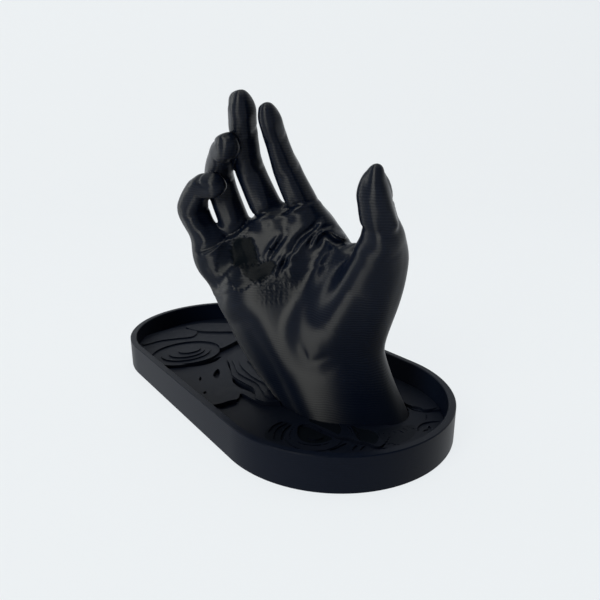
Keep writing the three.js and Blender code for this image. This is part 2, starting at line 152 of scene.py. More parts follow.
def curve_points(corners, count, closed=False):
    """Points on a centripetal Catmull-Rom curve: in each span a cubic from one corner to the
    next whose end slopes follow the neighbours, weighed by the roots of the spans' lengths."""
    p = np.asarray(corners, float)
    if closed:
        p = np.concatenate([p[-1:], p, p[:2]])
    else:
        p = np.concatenate([[2 * p[0] - p[1]], p, [2 * p[-1] - p[-2]]])
    span = np.sqrt(np.linalg.norm(np.diff(p, axis=0), axis=1))[:, None]
    a, b, c, d = p[:-3], p[1:-2], p[2:-1], p[3:]
    before, here, after = span[:-2], span[1:-1], span[2:]
    leave = ((b - a) / before - (c - a) / (before + here) + (c - b) / here) * here
    arrive = ((c - b) / here - (d - b) / (here + after) + (d - c) / after) * here
    t = (np.arange(count) / count)[None, :, None]
    b, c, leave, arrive = (v[:, None] for v in (b, c, leave, arrive))
    curve = ((2 * t**3 - 3 * t**2 + 1) * b + (t**3 - 2 * t**2 + t) * leave
             + (3 * t**2 - 2 * t**3) * c + (t**3 - t**2) * arrive)
    curve = curve.reshape(-1, p.shape[1])
    return curve if closed else np.concatenate([curve, p[-2:-1]])


def three_cornered(faces):
    """Which triangles have three different corners."""
    return (faces[:, 0] != faces[:, 1]) & (faces[:, 1] != faces[:, 2]) & (faces[:, 2] != faces[:, 0])


def join_same(points, faces):
    """Joins points at one place, to a millionth of a millimetre, and drops what collapses."""
    points, which = np.unique(np.round(points, 6), axis=0, return_inverse=True)
    faces = which.ravel()[faces]
    return points, faces[three_cornered(faces)]


def ring_faces(rings, sides):
    """Two triangles between each pair of neighbours on one ring of points and on the next."""
    a = (np.arange(rings - 1)[:, None] * sides + np.arange(sides)).ravel()
    b = (np.arange(rings - 1)[:, None] * sides + (np.arange(sides) + 1) % sides).ravel()
    return np.concatenate([np.stack([a, b, b + sides], 1), np.stack([a, b + sides, a + sides], 1)])


def split_along(points, faces, value):
    """Cuts every triangle that the line value = 0 crosses, where it crosses its edges by linear
    interpolation. Also returns each new triangle's parent, and the value at each point."""
    side = np.sign(value)
    edges = np.concatenate([faces[:, [0, 1]], faces[:, [1, 2]], faces[:, [2, 0]]])
    crossed = side[edges[:, 0]] * side[edges[:, 1]] < 0
    cut, which = np.unique(np.sort(edges[crossed], axis=1), axis=0, return_inverse=True)
    share = value[cut[:, 0]] / (value[cut[:, 0]] - value[cut[:, 1]])
    fresh = points[cut[:, 0]] + share[:, None] * (points[cut[:, 1]] - points[cut[:, 0]])
    middle = np.full(len(edges), -1)
    middle[crossed] = len(points) + which.ravel()
    middle = middle.reshape(3, -1).T
    number = (middle >= 0).sum(axis=1)
    order = np.arange(3)
    kept = np.flatnonzero(number == 0)

    once = np.flatnonzero(number == 1)
    turn = (np.argmax(middle[once] >= 0, axis=1)[:, None] + order) % 3
    a, b, c = np.take_along_axis(faces[once], turn, 1).T
    m = middle[once].max(axis=1)
    halves = np.concatenate([np.stack([a, m, c], 1), np.stack([m, b, c], 1)])

    twice = np.flatnonzero(number == 2)
    turn = (np.argmax(middle[twice] < 0, axis=1)[:, None] + order) % 3
    a, b, c = np.take_along_axis(faces[twice], turn, 1).T
    _, m, n = np.take_along_axis(middle[twice], turn, 1).T
    parts = np.concatenate([np.stack([m, c, n], 1), np.stack([a, b, m], 1), np.stack([a, m, n], 1)])

    parent = np.concatenate([kept, np.tile(once, 2), np.tile(twice, 3)])
    return (np.concatenate([points, fresh]), np.concatenate([faces[kept], halves, parts]),
            parent, np.concatenate([value, np.zeros(len(fresh))]))


class Plate:
    """A flat net of triangles, each with a height of its top and of its underside at every corner."""

    def __init__(self, points, faces, bottom, top):
        self.points, self.faces = points, faces
        self.top = np.full(faces.shape, float(top))
        self.bottom = np.full(faces.shape, float(bottom))
        self.dull = np.zeros(len(faces))

    def cut(self, value, snap=0.03):
        """Splits the net along value = 0, and says which triangles lie inside, where it is above 0."""
        value = np.where(np.abs(value) < snap, 0, value)
        self.points, self.faces, parent, value = split_along(self.points, self.faces, value)
        self.top, self.bottom, self.dull = self.top[parent], self.bottom[parent], self.dull[parent]
        return value[self.faces].max(axis=1) > 0

    def keep(self, chosen):
        self.faces, self.top, self.bottom = self.faces[chosen], self.top[chosen], self.bottom[chosen]
        self.dull = self.dull[chosen]

    def skin(self):
        """Each triangle at its top and, turned over, at its underside, with an upright wall between
        neighbours whose heights differ and round every open edge. Corners of one place and one
        height, to 0.0001 mm, become one point."""
        count = len(self.points)
        a, b = self.faces.ravel(), np.roll(self.faces, -1, axis=1).ravel()
        top_a, top_b = self.top.ravel(), np.roll(self.top, -1, axis=1).ravel()
        low_a, low_b = self.bottom.ravel(), np.roll(self.bottom, -1, axis=1).ravel()
        edge, back = a * count + b, b * count + a
        order = np.argsort(edge)
        found = np.searchsorted(edge[order], back)
        other = order[np.minimum(found, len(edge) - 1)]
        joined = edge[other] == back
        walls = []

        def wall(chosen, from_a, from_b, to_a, to_b):
            walls.append(np.stack([
                np.stack([a, from_a], 1), np.stack([b, from_b], 1),
                np.stack([b, to_b], 1), np.stack([a, to_a], 1)], 1)[chosen])

        step = joined & ((top_a > top_b[other] + 1e-6) | (top_b > top_a[other] + 1e-6))
        wall(step, top_b[other], top_a[other], top_a, top_b)
        step = joined & ((low_a < low_b[other] - 1e-6) | (low_b < low_a[other] - 1e-6))
        wall(step, low_a, low_b, low_b[other], low_a[other])
        wall(~joined, low_a, low_b, top_a, top_b)
        quads = np.concatenate(walls)
        upper = np.stack([self.faces, self.top], 2)
        lower = np.stack([self.faces, self.bottom], 2)[:, ::-1]
        corners = np.concatenate([upper, lower, quads[:, [0, 1, 2]], quads[:, [0, 2, 3]]]).reshape(-1, 2)
        level = np.round((corners[:, 1] + 100) * 1e4).astype(np.int64)
        key = corners[:, 0].astype(np.int64) * 10**7 + level
        _, first, which = np.unique(key, return_index=True, return_inverse=True)
        flat = self.points[corners[first, 0].astype(int)]
        points = np.column_stack([flat, corners[first, 1]])
        faces = which.reshape(-1, 3)
        whole = three_cornered(faces)
        dull = np.zeros(len(faces))
        dull[:len(self.dull)] = self.dull
        return points, faces[whole], dull[whole]


def stadium_inset(points):
    """How far points lie inside the tray's outline: its half width less their distance from
    the line between the middles of its two round ends."""
    x, y = points[:, 0], points[:, 1]
    return TRAY_WIDTH / 2 - np.hypot(x - np.clip(x, -ARC_REACH, ARC_REACH), y)


def oval_inset(points, middle, half_length, half_width, turn):
    """About how far points lie inside a turned ellipse: its implicit function over its slope."""
    x, y = points[:, 0] - middle[0], points[:, 1] - middle[1]
    u = (x * cos(turn) + y * sin(turn)) / half_length
    v = (y * cos(turn) - x * sin(turn)) / half_width
    reach = np.hypot(u, v)
    slope = np.hypot(u / half_length, v / half_width) / np.maximum(reach, 1e-6)
    return (1 - reach) / np.maximum(slope, 1e-6)


def round_inset(points, middle, radius):
    """How far points lie inside a circle."""
    return oval_inset(points, middle, radius, radius, 0)


def outline_inset(points, outline):
    """How far points lie inside a closed outline, below zero outside: the least distance to its
    sides, with the sign from how many sides a ray to the right of the point crosses."""
    inset = np.full(len(points), -1e3)
    low, high = outline.min(axis=0) - 2, outline.max(axis=0) + 2
    near = np.flatnonzero(((points > low) & (points < high)).all(axis=1))
    p = points[near][:, None]
    a, b = outline, np.roll(outline, -1, axis=0)
    side = b - a
    share = np.clip(((p - a) * side).sum(axis=2) / (side**2).sum(axis=1), 0, 1)
    gap = np.sqrt((((p - a) - share[..., None] * side)**2).sum(axis=2)).min(axis=1)
    spans = (a[:, 1] > p[..., 1]) != (b[:, 1] > p[..., 1])
    rise = np.where(side[:, 1] == 0, 1, side[:, 1])
    right = p[..., 0] < a[:, 0] + (p[..., 1] - a[:, 1]) * side[:, 0] / rise
    inside = (spans & right).sum(axis=1) % 2 == 1
    inset[near] = np.where(inside, gap, -gap)
    return inset


# The hand's shape, as a distance field in its own frame: x across the palm to the thumb, y from
# the palm to the back of the hand, z from the wrist to the fingers

TURN = np.array([[cos(HAND_TURN), -sin(HAND_TURN), 0], [sin(HAND_TURN), cos(HAND_TURN), 0], [0, 0, 1]])
LEAN = np.array([[cos(HAND_LEAN), 0, -sin(HAND_LEAN)], [0, 1, 0], [sin(HAND_LEAN), 0, cos(HAND_LEAN)]])
HAND_AXES = TURN @ LEAN


def to_hand(points):
    return (points - HAND_PLACE) @ HAND_AXES


def from_hand(points):
    return points @ HAND_AXES.T + HAND_PLACE


# Wrist and palm: height, middle across and through, half width, half thickness and squareness
PALM_SECTIONS = np.array([
    [-16, 1, 0, 28.5, 17, 2.3], [8, 1, 0, 28.4, 16.5, 2.3], [22, 0.6, 1, 30, 15.8, 2.3],
    [36, 0, 3.5, 33, 15.2, 2.4], [52, -1.5, 6.5, 36.5, 14.5, 2.5], [68, -2, 10, 37, 13, 2.6],
    [84, -4, 14, 35.5, 11, 2.6], [96, -2.5, 16.5, 29, 9.2, 2.6], [102, 2, 17.5, 17, 6.5, 2.4],
    [105, 3, 18, 10, 3, 2.2]])

# Fingers: knuckle, lean to the thumb's side, roll of the bending plane to that side, bends of the
# knuckle and the two joints, lengths of the bones, radii by the place, which is 0 at the
# knuckle, 1 and 2 at the joints and 3 at the tip, and the length of the domed tip
FINGERS = {
    "index": dict(
        knuckle=[20.5, 15.5, 87.5], splay=-7, roll=28, bends=[21.5, 21, 6], bones=[31, 18, 16],
        sizes=[(0, 8), (0.45, 7.2), (1, 6.1), (1.5, 5.3), (2, 4.9), (2.4, 4.8), (3, 4.5)], dome=9),
    "middle": dict(
        knuckle=[2.5, 17.5, 92], splay=-9, roll=44, bends=[20, 29, 7], bones=[34, 21, 17.5],
        sizes=[(0, 8.3), (0.45, 7.5), (1, 6.6), (1.5, 6), (2, 5.9), (2.4, 5.7), (3, 5.1)], dome=9.5),
    "ring": dict(
        knuckle=[-17, 17.5, 96], splay=2.5, roll=40, bends=[12, 54, 18], bones=[32, 20, 15],
        sizes=[(0, 7.8), (0.45, 7.4), (1, 6.8), (1.5, 6.1), (2, 5.6), (2.4, 5.4), (3, 4.9)], dome=7.5),
    "little": dict(
        knuckle=[-30.5, 15, 92], splay=-19, roll=62, bends=[23, 56, 46], bones=[27.5, 15.5, 15],
        sizes=[(0, 7.2), (0.45, 6.8), (1, 7.1), (1.5, 6.2), (2, 5.7), (2.4, 5.3), (3, 4.9)], dome=7),
}
THUMB_JOINTS = [[16, 2, 24], [37, -4, 49], [51, -11.8, 66], [56, -24, 86], [61.2, -27.5, 101.4]]
THUMB_SIZES = [(0, 9), (1, 10.8), (2, 8.3), (2.6, 7.3), (3, 6.7), (3.4, 6.1), (4, 5.5)]
THUMB_DOME = 12.5
THUMB_ACROSS = [0.75, -0.6, -0.3]

# How far a finger's flat front turns from its bending plane, and how square its section is: 2
# is an ellipse
FINGER_TURN = radians(22)
FINGER_SQUARE = 2.5

# How flat a finger and the thumb are, through by across
FINGER_FLAT, THUMB_FLAT = 0.92, 0.95

# Nails: how far the middle lies before the tip, half length and half width. A finger's half
# width is a share of its radius at the second joint
FINGER_NAIL = (6, 4.6, 0.72)
THUMB_NAIL = (7.5, 6, 5)
NAIL_RISE, NAIL_GROOVE = 0.4, 0.35

# Flesh and bone of a finger: place, rise or depth, and reach along the finger in millimetres
FINGER_PADS = [(0.72, 0.5, 6), (1.5, 0.5, 4.5), (2.5, 0.7, 4.5)]
FINGER_CREASES = [(1, 0.45, 1.6), (2, 0.45, 1.4)]
FINGER_KNUCKLES = [(1, 0.7, 4), (2, 0.4, 3)]
FINGER_WRINKLES = [
    (0.93, 0.3, 0.6), (1, 0.35, 0.6), (1.07, 0.3, 0.6), (1.97, 0.25, 0.6), (2.04, 0.25, 0.6)]
THUMB_PADS = [(2.5, 0.5, 5), (3.45, 0.8, 5)]
THUMB_CREASES = [(2.3, 0.3, 1.4), (2.76, 0.7, 1.6)]
THUMB_KNUCKLES = [(2, 0.3, 5), (3, 0.3, 4)]
THUMB_WRINKLES = [(2.95, 0.3, 0.7), (3.03, 0.3, 0.7)]

# Swellings of flesh and bone: middle, half sizes, turn in the palm's plane and blend
SWELLINGS = {
    "ball of the thumb": ([24, 2, 51], [20, 12.5, 27.5], 36, 7),
    "web": ([31, 4, 57], [12, 8, 9], 30, 4),
    "heel": ([-17, 5, 48], [19, 12.5, 36], -4, 7),
    "little finger's side": ([-31, 11, 95], [10.5, 7.5, 15], 12, 4),
    "middle of the palm": ([4, 1, 41], [13, 13.2, 17], 0, 6),
    "index pad": ([18, 11, 86], [11, 4.5, 9.5], 0, 4),
    "middle pad": ([2, 12.5, 90], [10, 4.5, 9.5], 0, 4),
    "ring pad": ([-14, 12.5, 90], [9.5, 4.5, 8.5], 0, 4),
    "little pad": ([-27, 10, 87], [8.5, 4.5, 9], 0, 4),
    "index knuckle": ([20.5, 20, 86], [7, 5.5, 7], 0, 5),
    "middle knuckle": ([2.5, 22, 90], [7.5, 6, 7.5], 0, 5),
    "ring knuckle": ([-14, 21.5, 92], [7, 5.5, 7], 0, 5),
    "little knuckle": ([-28.5, 18.5, 88], [6.5, 5, 6.5], 0, 5),
    "wrist bone": ([-19, 11, 12], [6.5, 7.5, 8], 0, 6),
}

# Ridges under the skin, of which a keel catches the light along a finger: points, radii and blend
RIDGES = {
    "outer edge of the thumb's ball": (
        [[54, -20, 74], [47.5, -13, 65.5], [37.5, -7, 55], [22.5, -4.8, 40.5], [11, -4.5, 27]],
        [5.5, 6.6, 7.2, 7.2, 5], 6),
    "inner edge of the thumb's ball": (
        [[45, -15.8, 70], [33, -9.6, 60], [17.5, -6, 46.5], [5, -3.6, 32]], [5.6, 6.8, 7, 4.6], 8),
    "thumb keel": (
        [[62.6, -29.2, 100], [61, -30.2, 96], [60.6, -30, 91.5], [60, -28.9, 85.6], [59.6, -26.6, 79]],
        [2, 2.2, 2.3, 2.3, 2.2], 3),
    "index keel": (
        [[30.1, -14.9, 138.8], [28.6, -13.3, 134.4], [27, -8.9, 130.6], [25.2, -3.1, 124.7],
         [23.7, 1.8, 118.2], [23, 4.4, 110], [22.9, 6.6, 102.6]], [2.4, 2.4, 2.6, 3.4, 3.6, 3.2, 2.8], 2),
    "upper middle keel": ([[21.3, -12, 148.1], [19.1, -10, 142.6], [15.2, -4.2, 137.3]], [2.4, 2.2, 2], 2),
    "lower middle keel": (
        [[7.8, 3.1, 126.8], [7.3, 7, 122.2], [6.8, 8.2, 116.9], [5.9, 8.9, 112.1], [5.1, 9.4, 107]],
        [2.4, 3, 3.2, 3, 2.6], 2),
    "ring keel": ([[-11.8, 11.2, 115.4], [-13, 11.7, 111.1], [-13.7, 11.5, 107.2]], [2.6, 2.8, 2.4], 2),
    "little keel": ([[-29.9, 5.9, 113.8], [-29.6, 7.5, 109.1], [-28.9, 6.3, 103]], [2.4, 2.8, 2.6], 2),
    "index tendon": ([[20.5, 21.5, 84], [13, 17.2, 50], [6, 12.8, 22]], [2.6, 2.2, 1.6], 3),
    "middle tendon": ([[2.5, 23.8, 88], [2, 18.8, 50], [1.5, 13.4, 22]], [2.8, 2.3, 1.6], 3),
    "ring tendon": ([[-14, 23.4, 90], [-8.5, 18.7, 50], [-3, 13.4, 22]], [2.6, 2.2, 1.6], 3),
    "little tendon": ([[-28.5, 20, 86], [-18, 17.4, 50], [-8, 13, 22]], [2.4, 2, 1.6], 3),
    "thumb tendon": ([[52, -4, 68], [40, 5, 52], [27, 9, 34], [18, 9, 20]], [2.4, 2.4, 2.2, 1.8], 3),
}

# How softly neighbouring fingers meet, and how softly fingers and thumb grow out of the palm
NEIGHBOUR_BLEND, LIMB_BLEND = 1, 4

# The plane that bevels the wrist's left side: a point on it and the way it faces, how far it
# draws back above which height and over what rise, and its blend
BEVEL_POINT, BEVEL_FACING = [-16, -12.3, 33], [-0.574, -0.817, 0.055]
BEVEL_BACK, BEVEL_HEIGHT, BEVEL_RISE, BEVEL_BLEND = 8, 60, 22, 5

# Where the palm's own relief ends, across and up, and over what depth it fades to the hand's side
PALM_END, PALM_TOP, PALM_FADE = 43, 109, 6

# Mounds and hollows of the palm by place (x, z): middle, reach and rise. The pads of the four
# fingers come first, then the palm's hollow, and small dents and bumps down to the wrist
MOUNDS = [
    ((21, 95.5), (7.5, 4.5), 1.1), ((4.5, 99), (7, 4.5), 1.1),
    ((-11.5, 97), (6, 4), 1), ((-26.5, 95), (6, 4.5), 1),
    ((15, 70), (10, 9), -3.6), ((24, 80.8), (2.6, 2.8), -0.9), ((3.2, 78.4), (3, 2), -1.4),
    ((2.3, 98), (1.9, 1.7), -0.4), ((21.4, 97), (2.4, 1.6), -0.4), ((9.3, 92), (1.8, 2.6), -0.4),
    ((8.5, 79.5), (2.4, 2.2), 0.9), ((-0.5, 38), (1.6, 4), -0.35), ((5, 34), (5, 1.8), -0.35),
]

# Folds of the palm by place (x, z): points, depth of the groove, its half width, and the rise of
# the lips on its left and right, seen along the points. Six folds cross the palm, the next four
# are where index, middle, ring and little finger begin, and the last runs down the wrist
FOLDS = [
    ([(-1.5, 84), (3, 86.8), (7.8, 89.4)], 1.7, 1.1, 0.8, 0.2),
    ([(8.5, 82.2), (15, 86.4), (22.5, 88), (25.5, 89.5)], 1.9, 1.5, 0.1, 1.4),
    ([(17.5, 81.5), (21, 84.3), (26, 86.2), (29.5, 85.6)], 1.4, 0.9, 0.2, 0.9),
    ([(24.4, 83.6), (27.6, 82.6), (29.4, 79.6), (33, 76.6), (38, 75.4)], 1.2, 1.1, 1, 0.4),
    ([(31, 83.5), (34.5, 81), (40, 80.5)], 0.8, 0.9, 0.5, 0.5),
    ([(6.8, 81), (3.5, 78.6), (0, 75.6)], 1.3, 1, 0.2, 0.9),
    ([(7.2, 101.4), (13, 100.2), (19.4, 100.9), (28.5, 99)], 1.5, 1, -0.4, 0.9),
    ([(-7.2, 105.2), (-2, 104), (3, 103.8), (10.6, 102.2)], 1.5, 1, -0.4, 0.9),
    ([(-21.4, 100.8), (-14, 101), (-7.4, 103.4)], 1.5, 1, -0.4, 0.9),
    ([(-33.5, 99.4), (-26.6, 99), (-21, 100.2)], 1.4, 1, -0.4, 0.8),
    ([(-24, 58), (-21, 40), (-19.5, 20), (-19, -8)], 1, 4, 0, 0),
]

# The patch that broken-off print supports left, and two duller, deeper parts of it: outline by
# place (x, z) and how dull it is. Each lies one step below what is round it. The scar is a
# rough place beside them
PATCHES = [
    ([(-22.5, 97.8), (-17.4, 98.4), (-11.8, 98.2), (-6.8, 95.2), (-6.7, 90.2), (-7.3, 83.8), (-0.9, 82.3),
      (1.2, 78.5), (-3.5, 76.2), (-8.1, 74.4), (-12.4, 76.3), (-15.5, 75.1), (-21.1, 75.1), (-23.4, 78.7),
      (-25.2, 83.7), (-30.6, 87), (-26.8, 92.5)], 0.3),
    ([(-17.2, 97.8), (-11.9, 97.7), (-7.3, 95.4), (-7.1, 90.4), (-7.6, 82.5), (-14, 83.7), (-20.7, 86.8),
      (-20.5, 93.2)], 1),
    ([(-16.9, 85.6), (-7.4, 83.4), (-0.6, 81.7), (0.5, 78.9), (-4, 76.4), (-8.5, 75), (-13.5, 77.6),
      (-16.1, 81.4)], 0.9),
]
PATCH_STEP, PATCH_EDGE = 0.35, 0.7
SCAR_MIDDLE, SCAR_REACH, SCAR_ROUGHNESS, SCAR_DULLNESS = (-2.5, 69.5), (12, 7), 0.16, 0.25


def smooth_least(a, b, blend):
    """The smaller of two distances, rounded where they lie within blend of each other."""
    share = np.clip(0.5 + 0.5 * (b - a) / blend, 0, 1)
    return b + (a - b) * share - blend * share * (1 - share)


def smooth_step(value):
    value = np.clip(value, 0, 1)
    return value * value * (3 - 2 * value)


PALM_TABLE = curve_points(PALM_SECTIONS, 12)
PALM_HEIGHT, PALM_ROUNDING = 103, 3


def palm_size(z, column):
    """One of the palm's sizes at a height, between its sections."""
    return np.interp(z, PALM_TABLE[:, 0], PALM_TABLE[:, column])


def palm_distance(p):
    """Distance from a loft of superellipses, taken as its implicit function over its slope,
    and closed above by a rounded plane."""
    x, y, width, depth, square = (palm_size(p[:, 2], column) for column in range(1, 6))
    u = np.maximum(np.abs(p[:, 0] - x) / width, 1e-3)
    v = np.maximum(np.abs(p[:, 1] - y) / depth, 1e-3)
    reach = (u**square + v**square)**(1 / square)
    slope = reach**(1 - square) * np.hypot(u**(square - 1) / width, v**(square - 1) / depth)
    return -smooth_least((1 - reach) / slope, PALM_HEIGHT - p[:, 2], PALM_ROUNDING)


def ellipsoid_distance(p, middle, half, turn):
    """About the distance from an ellipsoid turned in the palm's plane."""
    c, s = cos(radians(turn)), sin(radians(turn))
    q = p - np.array(middle, float)
    q = np.stack([q[:, 0] * c - q[:, 2] * s, q[:, 1], q[:, 0] * s + q[:, 2] * c], 1) / half
    reach = np.maximum(np.linalg.norm(q, axis=1), 1e-4)
    return reach * (reach - 1) / np.maximum(np.linalg.norm(q / half, axis=1), 1e-4)


def nearest_on_line(p, line, sizes):
    """The nearest stretch of a line of round pieces, judged by distance less radius: which
    piece, how far along it, the point's offset from it, and that distance."""
    best = np.full(len(p), np.inf)
    piece, along = np.zeros(len(p), int), np.zeros(len(p))
    offset = np.zeros_like(p)
    for i in range(len(line) - 1):
        a, ab = line[i], line[i + 1] - line[i]
        share = np.clip((p - a) @ ab / (ab @ ab), 0, 1)
        gap = p - a - share[:, None] * ab
        distance = np.sqrt((gap**2).sum(axis=1)) - sizes[i] - share * (sizes[i + 1] - sizes[i])
        nearer = distance < best
        best[nearer], piece[nearer] = distance[nearer], i
        along[nearer], offset[nearer] = share[nearer], gap[nearer]
    return piece, along, offset, best


class Limb:
    """A finger or the thumb: a smooth line through its joints, with its size by the place on
    it, soft pads and creases to the palm's side, and knuckles, wrinkles and a nail behind."""

    def __init__(self, joints, sizes, across, dome, pads, creases, knuckles, wrinkles, nail, flat):
        line = curve_points(joints, 10)
        place = np.linspace(0, len(joints) - 1, len(line))
        arc = np.concatenate([[0], np.cumsum(np.linalg.norm(np.diff(line, axis=0), axis=1))])
        table = curve_points(sizes, 8)
        end = arc[-1] - dome
        self.arc = np.append(arc[arc < end - 0.3], end)
        self.place = np.interp(self.arc, arc, place)
        self.line = np.stack([np.interp(self.arc, arc, line[:, k]) for k in range(3)], 1)
        self.sizes = np.interp(self.place, table[:, 0], table[:, 1])
        slopes = np.gradient(self.line, self.arc, axis=0)
        self.slopes = slopes / np.linalg.norm(slopes, axis=1)[:, None]
        back = np.cross(self.slopes, across)
        self.back = back / np.linalg.norm(back, axis=1)[:, None]
        self.width = np.cross(self.back, self.slopes)
        self.marks = {place: float(np.interp(place, np.linspace(0, len(joints) - 1, len(line)), arc))
                      for place, _, _ in [*pads, *creases, *knuckles, *wrinkles]}
        self.pads, self.creases, self.knuckles, self.wrinkles = pads, creases, knuckles, wrinkles
        self.dome, self.nail, self.flat = dome, nail, flat

    def swell(self, arc, features):
        """Sum of rounded bumps at places along the limb."""
        total = np.zeros(len(arc))
        for place, rise, reach in features:
            total += rise * np.exp(-((arc - self.marks[place]) / reach)**2)
        return total

    def distance(self, p, detail):
        """Distance from the limb's line less its radius, which is larger where pads and
        knuckles swell, smaller in creases, and follows a superellipse round the section.
        Before the line's start it closes round, and past its end with half an ellipsoid."""
        piece, along, offset, _ = nearest_on_line(p, self.line, self.sizes)

        def at(values):
            step = along[:, None] if values.ndim == 2 else along
            return values[piece] + step * (values[piece + 1] - values[piece])

        slope, back, width = at(self.slopes), at(self.back), at(self.width)
        past = (piece == len(self.line) - 2) & (along >= 1)
        before = (piece == 0) & (along <= 0)
        slip = (offset * slope).sum(axis=1)
        arc = at(self.arc) + slip
        radius = np.interp(arc, self.arc, self.sizes)
        offset = offset - slip[:, None] * slope
        slip = np.where(past, np.maximum(slip, 0) * radius / self.dome, np.where(before, slip, 0))
        length = np.maximum(np.sqrt((offset**2).sum(axis=1)), 1e-6)
        deep = (offset * back).sum(axis=1)
        wide = (offset * width).sum(axis=1)
        up, side = deep / length, wide / length
        section = np.abs(side)**FINGER_SQUARE + np.abs(up / self.flat)**FINGER_SQUARE
        section = (section + 1e-9)**(1 / FINGER_SQUARE)
        reach = np.hypot(length * section, slip)
        near_tip = length * section / reach
        front, behind = np.clip(-up, 0, 1) * near_tip, np.clip(up, 0, 1) * near_tip
        radius = radius + front * self.swell(arc, self.pads)
        radius = radius + (behind + 0.2 * np.abs(side) * near_tip) * self.swell(arc, self.knuckles)
        radius = radius - detail * smooth_step(front * 1.6) * self.swell(arc, self.creases)
        radius = radius - detail * behind**2 * self.swell(arc, self.wrinkles)
        start, half_length, half_width = self.nail
        u = (arc - self.arc[-1] - self.dome + start) / half_length
        v = wide / half_width
        rim = (u**4 + v**4)**0.25
        nail = NAIL_RISE * smooth_step((1.05 - rim) * 5) - NAIL_GROOVE * np.exp(-((rim - 1.12) / 0.1)**2)
        return reach - radius - detail * smooth_step(behind * 2 - 0.3) * nail


def finger_limb(knuckle, splay, roll, bends, bones, sizes, dome):
    """A finger whose bones bend in one plane, each by its joint's angle more than the last."""
    splay, roll = radians(splay), radians(roll)
    along = np.array([sin(splay), 0, cos(splay)])
    side = np.array([cos(splay), 0, -sin(splay)])
    curl = np.array([0, -cos(roll), 0]) + sin(roll) * side
    joints, bend = [np.array(knuckle, float)], 0
    for angle, bone in zip(bends, bones):
        bend += radians(angle)
        joints.append(joints[-1] + bone * (cos(bend) * along + sin(bend) * curl))
    before_tip, half_length, share = FINGER_NAIL
    nail = (before_tip, half_length, sizes[4][1] * share)
    across = cos(FINGER_TURN) * np.cross(along, curl) + sin(FINGER_TURN) * curl
    return Limb(joints, sizes, across, dome, FINGER_PADS, FINGER_CREASES, FINGER_KNUCKLES,
                FINGER_WRINKLES, nail, FINGER_FLAT)


HAND_LIMBS = [finger_limb(**finger) for finger in FINGERS.values()]
THUMB = Limb(THUMB_JOINTS, THUMB_SIZES, THUMB_ACROSS, THUMB_DOME, THUMB_PADS, THUMB_CREASES,
             THUMB_KNUCKLES, THUMB_WRINKLES, THUMB_NAIL, THUMB_FLAT)


def near_line(p, line, margin):
    """Which points lie within margin of the box round a line."""
    return ((p > line.min(axis=0) - margin) & (p < line.max(axis=0) + margin)).all(axis=1)


def side_of_line(x, z, points):
    """Distance from a curve in the palm's plane, above zero on its left, and the share of the
    curve's length at the nearest point."""
    line = curve_points(points, 6)
    best = np.full(len(x), np.inf)
    signed, share_at = np.zeros(len(x)), np.zeros(len(x))
    count = len(line) - 1
    for i in range(count):
        ax, az = line[i]
        bx, bz = line[i + 1] - line[i]
        share = np.clip(((x - ax) * bx + (z - az) * bz) / (bx * bx + bz * bz), 0, 1)
        gx, gz = x - ax - share * bx, z - az - share * bz
        gap = np.hypot(gx, gz)
        nearer = gap < best
        best[nearer] = gap[nearer]
        signed[nearer] = (gap * np.sign(bx * gz - bz * gx))[nearer]
        share_at[nearer] = ((i + share) / count)[nearer]
    return signed, share_at


def scar_share(x, z):
    """How much of the scar there is at a place of the palm: 1 in its middle, and falling to 0
    at an ellipse a little larger than its reach."""
    reach = ((x - SCAR_MIDDLE[0]) / SCAR_REACH[0])**2 + ((z - SCAR_MIDDLE[1]) / SCAR_REACH[1])**2
    return smooth_step(1.4 - reach)


def palm_relief(x, z):
    """Height of the skin over the palm's plain form: bell-shaped mounds and hollows, folds with
    a bell-shaped groove and a lip on each side, and a scar that products of sines roughen."""
    height = np.zeros(len(x))
    for (mx, mz), (rx, rz), rise in MOUNDS:
        height += rise * np.exp(-((x - mx) / rx)**2 - ((z - mz) / rz)**2)
    for points, depth, half, left, right in FOLDS:
        corners = np.array(points, float)
        near = ((x > corners[:, 0].min() - 9) & (x < corners[:, 0].max() + 9)
                & (z > corners[:, 1].min() - 9) & (z < corners[:, 1].max() + 9))
        gap, share = side_of_line(x[near], z[near], corners)
        fade = np.sqrt(np.clip(np.sin(pi * np.clip(share, 0.02, 0.98)), 0, 1))
        fold = -depth * np.exp(-(gap / half)**2)
        fold += left * np.exp(-((gap - 1.9 * half) / (1.1 * half))**2)
        fold += right * np.exp(-((gap + 1.9 * half) / (1.1 * half))**2)
        height[near] += fade * fold
    grain = np.sin(3.1 * x + 1.3 * z) * np.sin(2.7 * z - 1.1 * x)
    grain += 0.6 * np.sin(5.3 * x - 2.9 * z) * np.sin(4.1 * z)
    return height + SCAR_ROUGHNESS * grain * scar_share(x, z)


